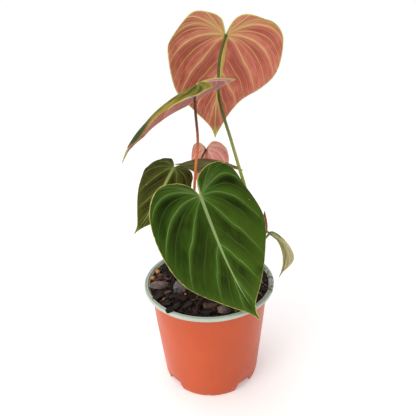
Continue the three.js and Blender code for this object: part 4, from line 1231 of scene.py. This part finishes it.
class PLANT_OT_pot(Operator):
    """Thin nursery pot with a rolled rim, a crease below it and a scalloped foot"""
    bl_idname = "plant.pot"
    bl_label = "Nursery pot"

    def execute(self, context):
        settings = context.scene.plant_pot
        bm = bmesh.new()
        turned(bm, self.corners(), settings.sides)
        for vert in bm.verts:
            lift = self.gap_height(vert.co)
            if vert.co.z < lift and math.hypot(vert.co.x, vert.co.y) > FOOT_INNER_RADIUS - FOOT_MARGIN:
                vert.co.z = lift
        for face in bm.faces:
            middle = face.calc_center_median()
            looks_in = face.normal.x * middle.x + face.normal.y * middle.y < 0 or face.normal.z > 0.5
            inner = middle.z > FLOOR_TOP - 0.3 and looks_in
            face.material_index = 1 if inner or middle.z > POT_HEIGHT - RIM_DEPTH - 0.05 else 0
        skins = (self.outside(settings), self.inside(settings))
        self.drill(finish_piece("pot_body", bm, skins, "pot_plastic", "pot"))
        return {"FINISHED"}

    @staticmethod
    def corners():
        """Outline from the middle of the underside, round the rim, to the middle of the floor."""
        low, high = CREASE_HEIGHT - 0.4, CREASE_HEIGHT + 0.4
        top, rim_low, channel = POT_HEIGHT, POT_HEIGHT - RIM_DEPTH, RIM_CHANNEL_RADIUS
        inner_low = RIM_SLOPE_FOOT - 0.3
        return (
            (0, FLOOR_UNDERSIDE, 0), (FOOT_INNER_RADIUS, FLOOR_UNDERSIDE, 1.2),
            (FOOT_INNER_RADIUS + 0.7, 0, 0.4), (WALL_BASE_RADIUS - 1.0, 0, 1.0),
            *((wall_radius(z), z, fillet) for z, fillet in ((WALL_BASE_HEIGHT, 1.2), (20, 2), (60, 2))),
            (wall_radius(low) - CREASE_STEP, low, 0.3), (wall_radius(high), high, 0.3),
            (WALL_TOP_RADIUS, rim_low, 0.4), (RIM_RADIUS, rim_low, 0.7), (RIM_RADIUS, top - 0.05, 1.2),
            (channel + 0.6, top, 0.4), (channel + 0.2, top - 0.35, 0.15),
            (channel - 0.2, top - 0.35, 0.15), (channel - 0.6, top - 0.05, 0.3),
            (RIM_INNER_RADIUS, top - 0.1, 0.6), (RIM_INNER_RADIUS - 0.2, top - 1.4, 0.4),
            *((wall_radius(z) - WALL, z, fillet)
              for z, fillet in ((inner_low, 0.8), (50, 2), (FLOOR_TOP, FLOOR_CORNER))),
            (0, FLOOR_TOP, 0),
        )

    @staticmethod
    def gap_height(point):
        """How high the foot is cut away at a place: wide gaps between four feet and a nick in each."""
        lift = 0.0
        for i in range(DRAIN_GAPS):
            for azimuth, half, taper, height in (
                    (DRAIN_GAP_AZIMUTH, DRAIN_GAP_HALF_WIDTH, DRAIN_GAP_TAPER, DRAIN_GAP_HEIGHT),
                    (DRAIN_GAP_AZIMUTH + 45, FOOT_NOTCH_HALF_WIDTH, FOOT_NOTCH_TAPER, FOOT_NOTCH_HEIGHT)):
                a = math.radians(azimuth + 90 * i)
                out = point.x * math.cos(a) + point.y * math.sin(a)
                off = abs(point.y * math.cos(a) - point.x * math.sin(a))
                if out > 0:
                    share = min(max((half - off) / taper, 0), 1)
                    lift = max(lift, height * share * share * (3 - 2 * share))
        return lift

    @staticmethod
    def drill(pot):
        """Cuts the round drain holes through the floor."""
        bm = bmesh.new()
        height = (FLOOR_TOP + FLOOR_UNDERSIDE) / 2 * MM
        radius = DRAIN_HOLE_RADIUS * MM
        for i in range(DRAIN_GAPS):
            x, y = polar(DRAIN_HOLE_RING * MM, math.radians(DRAIN_GAP_AZIMUTH + 90 * i))
            bmesh.ops.create_cone(
                bm, cap_ends=True, segments=DRAIN_HOLE_SIDES, radius1=radius, radius2=radius,
                depth=DRAIN_CUT_DEPTH * MM, matrix=Matrix.Translation((x, y, height)))
        cutter = put_in_scene("drain_cutter", bm)
        cut = pot.modifiers.new("Drain holes", "BOOLEAN")
        cut.operation = "DIFFERENCE"
        cut.object = cutter
        cut.solver = "EXACT"
        evaluated = pot.evaluated_get(bpy.context.evaluated_depsgraph_get())
        drilled = bpy.data.meshes.new_from_object(evaluated)
        pot.modifiers.clear()
        pot.data = drilled
        bpy.data.objects.remove(cutter)

    @staticmethod
    def outside(settings):
        """Satin terracotta plastic, a little uneven, with faint drawn streaks, rubs and dust at the foot."""
        material, tree, shader = new_material("Terracotta plastic", Specular_IOR_Level=0.35)
        here = tree.here()
        clouds = tree.noise(here, 22.0, 3, 0.5)
        streaks = tree.noise(tree.scaled(here, (520, 520, 14)), 1.0, 3, 0.6)
        rubs = tree.noise(tree.scaled(here, (90, 90, 900), turn=(0.05, 0.02, 0)), 1.0, 4, 0.7)
        deep, pale = linear("#B84A24"), linear("#D8745A")
        colour = tree.mix(tree.band(clouds, 0.35, 0.7, 0, 0.5), settings.outside[:], deep)
        colour = tree.mix(tree.band(streaks, 0.5, 0.85, 0, 0.1), colour, pale)
        colour = tree.mix(tree.band(rubs, 0.68, 0.8, 0, 0.2), colour, pale)
        height = tree.split(here)[2]
        dust = tree.times(tree.band(height, 0.016, 0.0), tree.band(tree.noise(here, 240.0, 4), 0.45, 0.7))
        colour = tree.mix(tree.times(dust, 0.4), colour, linear("#8E5A44"))
        worn = tree.band(rubs, 0.6, 0.8, settings.roughness, settings.roughness + 0.2)
        relief = tree.plus(tree.times(streaks, 0.03), tree.times(clouds, 0.25))
        tree.dress(shader, colour, tree.plus(worn, tree.band(clouds, 0.3, 0.7, -0.03, 0.06)), relief, 0.5)
        return material

    @staticmethod
    def inside(settings):
        """Pale grey-green plastic with mould marks and smears of dried mix on one side of the rim."""
        material, tree, shader = new_material("Pale rim plastic", Specular_IOR_Level=0.45)
        here = tree.here()
        x, y, z = tree.split(here)
        radius = tree.math("SQRT", tree.plus(tree.times(x, x), tree.times(y, y)))
        clouds = tree.noise(here, 60.0, 4, 0.6)
        colour = tree.mix(tree.band(clouds, 0.3, 0.7, 0, 0.5), settings.inside[:], linear("#A6B3A4"))
        # Painted shade: the channel round the top of the rim is darkened
        off_channel = tree.math("ABSOLUTE", tree.math("SUBTRACT", radius, RIM_CHANNEL_RADIUS * MM))
        channel = tree.band(off_channel, 0.6 * MM, 0.1 * MM)
        colour = tree.mix(tree.times(channel, 0.5), colour, linear("#7F9084"))
        smears = tree.band(tree.noise(tree.scaled(here, (170, 170, 90)), 1.0, 5, 0.65, 0.6), 0.5, 0.6)
        side = tree.times(tree.band(x, 0.045, 0.056), tree.band(y, 0.04, 0.015))
        below = tree.times(tree.band(z, (POT_HEIGHT - 0.5) * MM, (MIX_EDGE_HEIGHT + 0.2) * MM),
                          tree.band(radius, (RIM_INNER_RADIUS + 1.2) * MM, RIM_INNER_RADIUS * MM, 0.0, 0.7))
        dirt = tree.times(smears, tree.math("MAXIMUM", side, below))
        thin = tree.band(tree.noise(here, 420.0, 3), 0.64, 0.74, 0.0, 0.3)
        colour = tree.mix(tree.math("MAXIMUM", dirt, thin), colour, settings.stain[:])
        relief = tree.plus(tree.times(clouds, 0.1), tree.times(dirt, 0.12))
        tree.dress(shader, colour, tree.band(dirt, 0, 1, 0.4, 0.85), relief, 0.5)
        return material


class PLANT_OT_mix(Operator):
    """Dark bark mix that fills the pot, with loose chips, crumbs, fibres and fertiliser grains"""
    bl_idname = "plant.mix"
    bl_label = "Potting mix"

    def execute(self, context):
        settings = context.scene.plant_mix
        self.bed(settings)
        bark = bark_material("Bark chips", settings.bark[:], settings.pale_bark[:])
        rng = random.Random(MIX_SEED)
        chips = [self.chip(seed) for seed in range(CHIP_KINDS)]
        places = [self.lay(rng, rng.uniform(*CHIP_SIZES) * rng.uniform(0.6, 1.0), CHIP_TILT)
                  for _ in range(settings.chips)]
        place, size, turn, lean, tone = RIM_CHIP
        places.append((Matrix.Translation(place) @ Matrix.Rotation(turn, 4, "Z")
                       @ Matrix.Rotation(lean, 4, "X") @ Matrix.Diagonal((*size, 1)), tone))
        for x, y, length, width, high, turn, tone in BARK_PIECES:
            lean = rng.uniform(-0.2, 0.2)
            places.append((Matrix.Translation((x, y, mix_height(x, y) + high * 0.25))
                           @ Matrix.Rotation(math.radians(turn), 4, "Z") @ Matrix.Rotation(lean, 4, "Y")
                           @ Matrix.Diagonal((length, width, high, 1)), tone))
        self.strew("bark_chips", chips, places, (bark,), "bark", rng)
        crumbs = [self.crumb(seed) for seed in range(CRUMB_KINDS)]
        places = [self.lay(rng, rng.uniform(*CRUMB_SIZES), CRUMB_TILT) for _ in range(settings.crumbs)]
        crumb = stone_material("Peat crumbs", settings.brown[:], settings.dark[:], linear("#5B443A"), 1.4)
        self.strew("peat_crumbs", crumbs, places, (crumb,), "potting_mix", rng)
        self.fibres(settings, rng)
        self.prills(settings)
        self.moss(rng)
        return {"FINISHED"}

    @staticmethod
    def bed(settings):
        """Filled body of the mix down to the pot's floor, its top lumpy and grainy."""
        floor = FLOOR_TOP + BED_GAP
        corner = floor + FLOOR_CORNER
        side_gap = WALL + BED_GAP + CREASE_STEP
        bm = bmesh.new()
        top = [(MIX_EDGE_RADIUS * i / BED_RINGS, MIX_EDGE_HEIGHT, 0) for i in range(BED_RINGS, -1, -1)]
        turned(bm, ((0, floor, 0), (BED_FLOOR_RADIUS, floor, 0), (wall_radius(corner) - side_gap, corner, 0),
                    (wall_radius(RIM_SLOPE_FOOT) - side_gap, RIM_SLOPE_FOOT + 0.1, 0), *top), BED_SIDES)
        for vert in bm.verts:
            if vert.co.z > MIX_EDGE_HEIGHT - 0.5:
                x, y = vert.co.x, vert.co.y
                edge = smooth(np.float64(math.hypot(x, y)), MIX_EDGE_RADIUS, MIX_EDGE_RADIUS - 3)
                lumps = noise.fractal(Vector((x, y, 0)) * 0.35, 0.9, 2.0, 5)
                pits = noise.noise(Vector((x, y, 7)) * 0.9)
                vert.co.z = mix_height(x, y) + edge * (MIX_GRAIN * (lumps + 0.5 * pits) - 0.5)
        # The dark colour fills the patches and pits: partly wet peat, partly painted shade in the hollows
        colours = settings.brown[:], settings.dark[:], linear("#4E3A31")
        skin = stone_material("Damp potting mix", *colours, scale=0.9)
        finish_piece("mix_bed", bm, (skin,), "potting_mix", "potting_mix")

    @staticmethod
    def lay(rng, size, tilt):
        """Random place on the mix for a thing of that size, with a tone from 0 to 1."""
        radius = (MIX_EDGE_RADIUS - 1.5 - size * 0.4) * math.sqrt(rng.random())
        x, y = polar(radius, rng.uniform(0, 2 * math.pi))
        turn = Matrix.Rotation(rng.uniform(0, 2 * math.pi), 4, "Z")
        lean = Matrix.Rotation(rng.gauss(0, tilt), 4, "X") @ Matrix.Rotation(rng.gauss(0, tilt), 4, "Y")
        scale = Matrix.Diagonal((size, size * rng.uniform(0.45, 0.9), size * rng.uniform(0.25, 0.5), 1))
        height = mix_height(x, y) - 0.5 + rng.uniform(-0.2, 0.6)
        return Matrix.Translation((x, y, height)) @ turn @ lean @ scale, rng.random() ** 2.2

    @staticmethod
    def chip(seed):
        """Angular splinter about 1 mm across, to be scaled."""
        rng = random.Random(seed)
        bm = bmesh.new()
        made = bmesh.ops.create_cube(bm, size=1)["verts"]
        for vert in made:
            vert.co += Vector(rng.uniform(-CHIP_JITTER, CHIP_JITTER) for _ in range(3))
        bmesh.ops.bevel(bm, geom=list(bm.edges), offset=0.1, offset_type="OFFSET", segments=1, profile=0.5,
                        affect="EDGES", material=-1, clamp_overlap=True)
        return bm

    @staticmethod
    def crumb(seed):
        """Rough crumb about 1 mm across, to be scaled."""
        bm = bmesh.new()
        made = bmesh.ops.create_icosphere(bm, subdivisions=1, radius=0.5)["verts"]
        for vert in made:
            vert.co *= 1 + 0.5 * noise.noise(vert.co * 3 + Vector((seed * 3.1, 0, 0)))
        return bm

    @staticmethod
    def strew(name, shapes, places, materials, slot, rng):
        """Copies the shapes to the places in one piece, each copy with its own tone."""
        templates = []
        for bm in shapes:
            mesh = bpy.data.meshes.new("shape")
            bm.to_mesh(mesh)
            bm.free()
            mesh.attributes.new("tone", "FLOAT", "POINT")
            templates.append(mesh)
        whole = bmesh.new()
        for matrix, tone in places:
            mesh = rng.choice(templates).copy()
            mesh.transform(matrix)
            mesh.attributes["tone"].data.foreach_set("value", [tone] * len(mesh.vertices))
            whole.from_mesh(mesh)
            bpy.data.meshes.remove(mesh)
        for mesh in templates:
            bpy.data.meshes.remove(mesh)
        piece = finish_piece(name, whole, materials, slot)
        for polygon in piece.data.polygons:
            polygon.use_smooth = False
        return piece

    @staticmethod
    def fibres(settings, rng):
        """Thin roots and twigs that lie on the mix, with a pair of pinkish ones at the right."""
        bm = bmesh.new()
        tones = bm.verts.layers.float.new("tone")
        routes = [(*ends, thick) for *ends, thick in TWIGS]
        for _ in range(settings.fibres):
            length, radius = rng.uniform(*FIBRE_LENGTHS), (MIX_EDGE_RADIUS - 8) * math.sqrt(rng.random())
            x, y = polar(radius, rng.uniform(0, 2 * math.pi))
            along, across = polar(length, rng.uniform(0, 2 * math.pi))
            routes.append(((x, y), (x + along, y + across), 0))
        for start, end, given in routes:
            thick = given or rng.uniform(*FIBRE_RADII)
            sway = 0.1 if given else 0.5
            points = []
            for k in range(4):
                x, y = (a + (b - a) * k / 3 + rng.uniform(-sway, sway) for a, b in zip(start, end))
                if math.hypot(x, y) > MIX_EDGE_RADIUS - 1:
                    x, y = (c * (MIX_EDGE_RADIUS - 1) / math.hypot(x, y) for c in (x, y))
                points.append((x, y, mix_height(x, y) + thick + rng.uniform(0, 2.2 * sway)))
            made = tube(bm, points, (thick, thick * FIBRE_TAPER), FIBRE_RINGS, FIBRE_SIDES)
            tone = 0.9 if given else rng.random()
            for vert in made:
                vert[tones] = tone
        close_up(bm, 1e-5)
        material = bark_material("Twigs and roots", linear("#4A342B"), linear("#B08A78"))
        finish_piece("mix_fibres", bm, (material,), "bark")

    @staticmethod
    def prills(settings):
        """Round coated fertiliser grains."""
        bm = bmesh.new()
        for x, y, size in PRILLS:
            place = Matrix.Translation((x, y, mix_height(x, y) + size * 0.35))
            bmesh.ops.create_icosphere(bm, subdivisions=3, radius=size / 2, matrix=place)
        material, tree, shader = new_material("Coated prills", Specular_IOR_Level=0.5)
        grain = tree.group(grain_group(), scale=3.0, seed=4.0)
        colour = tree.mix(grain["Patches"], settings.prill[:], linear("#B5651B"))
        colour = tree.mix(tree.times(grain["Speckle"], 0.3), colour, linear("#E9B765"))
        roughness = tree.band(grain["Speckle"], 0, 1, 0.35, 0.6)
        tree.dress(shader, colour, roughness, tree.times(grain["Pits"], 0.1), 0.6)
        finish_piece("fertiliser_prills", bm, (material,), "potting_mix")

    @staticmethod
    def moss(rng):
        """Small bright green tufts of moss."""
        bm = bmesh.new()
        for x, y in MOSS_BITS:
            for _ in range(MOSS_TUFTS):
                off_x, off_y = rng.gauss(0, MOSS_SPREAD), rng.gauss(0, MOSS_SPREAD)
                size = rng.uniform(0.5, 1.0)
                height = mix_height(x, y) + rng.uniform(0.6, 1.6)
                place = (Matrix.Translation((x + off_x, y + off_y, height))
                         @ Matrix.Rotation(rng.uniform(0, 3), 4, "X")
                         @ Matrix.Diagonal((size, size * 0.5, size * 1.6, 1)))
                bmesh.ops.create_icosphere(bm, subdivisions=1, radius=0.6, matrix=place)
        moss = stone_material("Moss", linear("#6FA32B"), linear("#3F6A17"), linear("#A8CF5A"), 3.0)
        finish_piece("moss_bits", bm, (moss,), "potting_mix")


class PLANT_OT_stones(Operator):
    """Three pebbles and a stick of bark pressed into the mix"""
    bl_idname = "plant.stones"
    bl_label = "Stones and bark"

    def execute(self, context):
        for name, (place, size, turn, sunk, seed, stand, colours, pitted, slot) in STONES.items():
            bm = bmesh.new()
            stone_shape(bm, size, seed, stand)
            if slot == "bark":
                for vert in bm.verts:
                    x, y, z = vert.co
                    spot = Vector((x * GROOVES_ACROSS, y * GROOVES_ALONG, z * GROOVES_ACROSS))
                    groove = 1 + GROOVE_DEPTH * noise.fractal(spot, 1, 2, 4)
                    vert.co.x *= groove
                    vert.co.z *= groove
            bmesh.ops.rotate(bm, verts=bm.verts, matrix=Matrix.Rotation(math.radians(turn), 3, "Z"))
            height = mix_height(*place) + size[2] * (0.5 - sunk)
            bmesh.ops.translate(bm, verts=bm.verts, vec=(*place, height))
            skin = stone_material(title(name), *map(linear, colours), 1.0, seed, pitted)
            finish_piece(name + "_worn", bm, (skin,), slot, name)
        return {"FINISHED"}


class PLANT_OT_stems(Operator):
    """Two short stems with swollen nodes, and the red sheath of the youngest leaf"""
    bl_idname = "plant.stems"
    bl_label = "Stems and sheath"

    def execute(self, context):
        plant = context.scene.plant_sizes
        skin = stem_material("Stem skin", plant.stem[:], linear("#7C7B3E"), 0.9, roughness=0.5)
        for seed, (name, stem) in enumerate(STEMS.items()):
            bm = bmesh.new()
            rings = [(place, STEM_NODE_GROWTH, STEM_NODE_REACH) for place in stem["nodes"]]
            tube(bm, stem["path"], stem["radii"], STEM_RINGS, plant.tube_sides + STEM_EXTRA_SIDES, rings,
                 STEM_WOBBLE, seed)
            close_up(bm)
            finish_piece(name + "_skin", bm, (skin,), "stem", name)
        bm = bmesh.new()
        tube(bm, SHEATH_PATH, SHEATH_RADII, SHEATH_RINGS, plant.tube_sides, wobble=SHEATH_WOBBLE)
        close_up(bm)
        finish_piece("sheath_red_skin", bm, (self.sheath_material(plant),), "sheath", "sheath_red")
        return {"FINISHED"}

    @staticmethod
    def sheath_material(plant):
        """Glossy red tissue with fine lengthwise ridges and darker edges."""
        material, tree, shader = new_material("Red sheath", Specular_IOR_Level=0.5, Coat_Weight=0.2)
        flecks = tree.group(flecks_group(), share=0.3)
        rise = tree.attribute("rise")
        colour = tree.mix(tree.band(flecks["Ridges"], 0.35, 0.7), plant.sheath[:], linear("#6E1418"))
        colour = tree.mix(tree.band(rise, 0.25, 0.0, 0, 0.6), colour, linear("#8A6A3A"))
        roughness = tree.band(flecks["Ridges"], 0.3, 0.7, 0.28, 0.42)
        tree.dress(shader, colour, roughness, tree.times(flecks["Ridges"], 0.2), 0.7)
        return material


class PLANT_OT_petioles(Operator):
    """Seven slim petioles that clasp the stems and carry the blades"""
    bl_idname = "plant.petioles"
    bl_label = "Petioles"

    def execute(self, context):
        plant = context.scene.plant_sizes
        for seed, (name, petiole) in enumerate(PETIOLES.items()):
            leaf = LEAVES[petiole["leaf"]]
            up = midrib_frame(leaf, np.zeros(1))[3][0]
            seat = Vector(leaf["midrib"][0]) - Vector(up) * PETIOLE_SEAT_SHARE * petiole["radii"][-1]
            foot = Vector(petiole["path"][0])
            into = (foot - Vector(petiole["path"][1])).normalized() * PETIOLE_FOOT_OVERLAP
            path = [foot + into, *petiole["path"][1:], seat]
            bm = bmesh.new()
            tube(bm, path, petiole["radii"], PETIOLE_RINGS, plant.tube_sides, PETIOLE_SWELLINGS,
                 PETIOLE_WOBBLE, seed + PETIOLE_SEED)
            close_up(bm)
            skin = stem_material(title(name) + " skin", *map(linear, petiole["colours"]), petiole["flecks"],
                                 petiole.get("fade", PETIOLE_FADE))
            finish_piece(name + "_skin", bm, (skin,), petiole["slot"], name)
        return {"FINISHED"}


class PLANT_OT_blades(Operator):
    """Seven heart-shaped blades with sunken veins, quilted skin and a thin pale margin"""
    bl_idname = "plant.blades"
    bl_label = "Blades"

    def execute(self, context):
        plant = context.scene.plant_sizes
        for seed, name in enumerate(LEAVES):
            colours = getattr(plant, name)
            blade = build_blade(name, plant)
            reach = [edge(vert.co.x for vert in blade.verts) for edge in (min, max)]
            seed *= BLADE_SEED_STEP
            skins = (blade_material(title(name) + " upper", colours.upper, False, seed, reach),
                     blade_material(title(name) + " under", colours.under, True, seed + UNDER_SEED, reach))
            finish_piece(name + "_blade", blade, skins, name, name)
        return {"FINISHED"}


class PLANT_OT_stage(Operator):
    """Plain pale floor, soft light and the camera"""
    bl_idname = "plant.stage"
    bl_label = "Stage"

    def execute(self, context):
        stage = context.scene.plant_stage
        bm = bmesh.new()
        bmesh.ops.create_grid(bm, x_segments=1, y_segments=1, size=stage.floor_size / 2)
        floor = put_in_scene("stage_floor", bm)
        glow = {"Emission_Strength": stage.floor_light, "Emission_Color": (1, 1, 1, 1)}
        material, tree, shader = new_material("Pale floor", Roughness=0.9, **glow)
        tint = tree.band(tree.noise(tree.here(), 3.0, 2), 0.3, 0.7)
        colour = tree.mix(tint, stage.floor_colour[:], linear("#F6F6F4"))
        tree.feed(shader.inputs["Base Color"], colour)
        floor.data.materials.append(material)

        world = bpy.data.worlds.new("Studio")
        world.use_nodes = True
        tree = Tree(world.node_tree)
        sky = world.node_tree.nodes["Background"]
        sky.inputs["Color"].default_value = (1, 1, 1, 1)
        side = tree.split(tree.node("TexCoord").outputs["Generated"])[0]
        light = tree.band(side, -1.0, 1.0, *(stage.sky_strength * share for share in SKY_SIDES))
        seen = tree.node("LightPath").outputs["Is Camera Ray"]
        tree.feed(sky.inputs["Strength"], tree.math("MAXIMUM", light, seen))
        context.scene.world = world
        for name, (place, size) in LAMPS.items():
            light = bpy.data.lights.new(title(name), "AREA")
            light.shape = "DISK"
            light.size = size
            light.energy = getattr(stage, name + "_power")
            lamp = bpy.data.objects.new(title(name), light)
            lamp.location = place
            lamp.rotation_euler = (Vector(LIT_MIDDLE) - Vector(place)).to_track_quat("-Z", "Y").to_euler()
            context.scene.collection.objects.link(lamp)
        self.camera(context)
        context.scene.view_settings.view_transform = "Standard"
        return {"FINISHED"}

    @staticmethod
    def camera(context):
        """Camera at the angle and distance that the plant is seen from."""
        down, roll = math.radians(CAMERA_DOWN), math.radians(CAMERA_ROLL)
        forward = Vector((0, math.cos(down), -math.sin(down)))
        level = Vector((1, 0, 0))
        up = level.cross(forward)
        right = level * math.cos(roll) + up * math.sin(roll)
        data = bpy.data.cameras.new("Camera")
        data.lens = CAMERA_LENS
        data.sensor_width = CAMERA_SENSOR
        data.clip_start = 0.01
        camera = bpy.data.objects.new("Camera", data)
        turn = Matrix((right, forward.cross(right) * -1, -forward)).transposed()
        camera.matrix_world = Matrix.Translation(CAMERA_PLACE) @ turn.to_4x4()
        context.scene.collection.objects.link(camera)
        context.scene.camera = camera


class PLANT_PT_panel(Panel):
    """Buttons that build the plant piece by piece"""
    bl_idname = "PLANT_PT_panel"
    bl_label = "Potted philodendron"
    bl_space_type = "VIEW_3D"
    bl_region_type = "UI"
    bl_category = "Plant"

    def draw(self, context):
        for operator in OPERATORS:
            self.layout.operator(operator.bl_idname)


OPERATORS = (PLANT_OT_pot, PLANT_OT_mix, PLANT_OT_stones, PLANT_OT_stems, PLANT_OT_petioles, PLANT_OT_blades,
             PLANT_OT_stage)
SETTINGS = {"plant_pot": PotSettings, "plant_mix": MixSettings, "plant_sizes": PlantSettings,
            "plant_stage": StageSettings}
CLASSES = (BladeFace, BladeSettings, *SETTINGS.values(), *OPERATORS, PLANT_PT_panel)


def register():
    for cls in CLASSES:
        bpy.utils.register_class(cls)
    for name, cls in SETTINGS.items():
        setattr(bpy.types.Scene, name, PointerProperty(type=cls, name=title(name), description=cls.__doc__))


def unregister():
    for name in SETTINGS:
        delattr(bpy.types.Scene, name)
    for cls in reversed(CLASSES):
        bpy.utils.unregister_class(cls)


def paint_blades(plant):
    """Fills in each blade's colours, which differ from leaf to leaf."""
    for name, looks in BLADE_LOOKS.items():
        colours = getattr(plant, name)
        for face, look in zip((colours.upper, colours.under), looks):
            for key, value in look.items():
                setattr(face, key, linear(value) if isinstance(value, str) else value)


def main():
    register()
    paint_blades(bpy.context.scene.plant_sizes)
    for operator in OPERATORS:
        group, call = operator.bl_idname.split(".")
        getattr(getattr(bpy.ops, group), call)()
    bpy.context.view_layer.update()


if __name__ == "__main__":
    main()
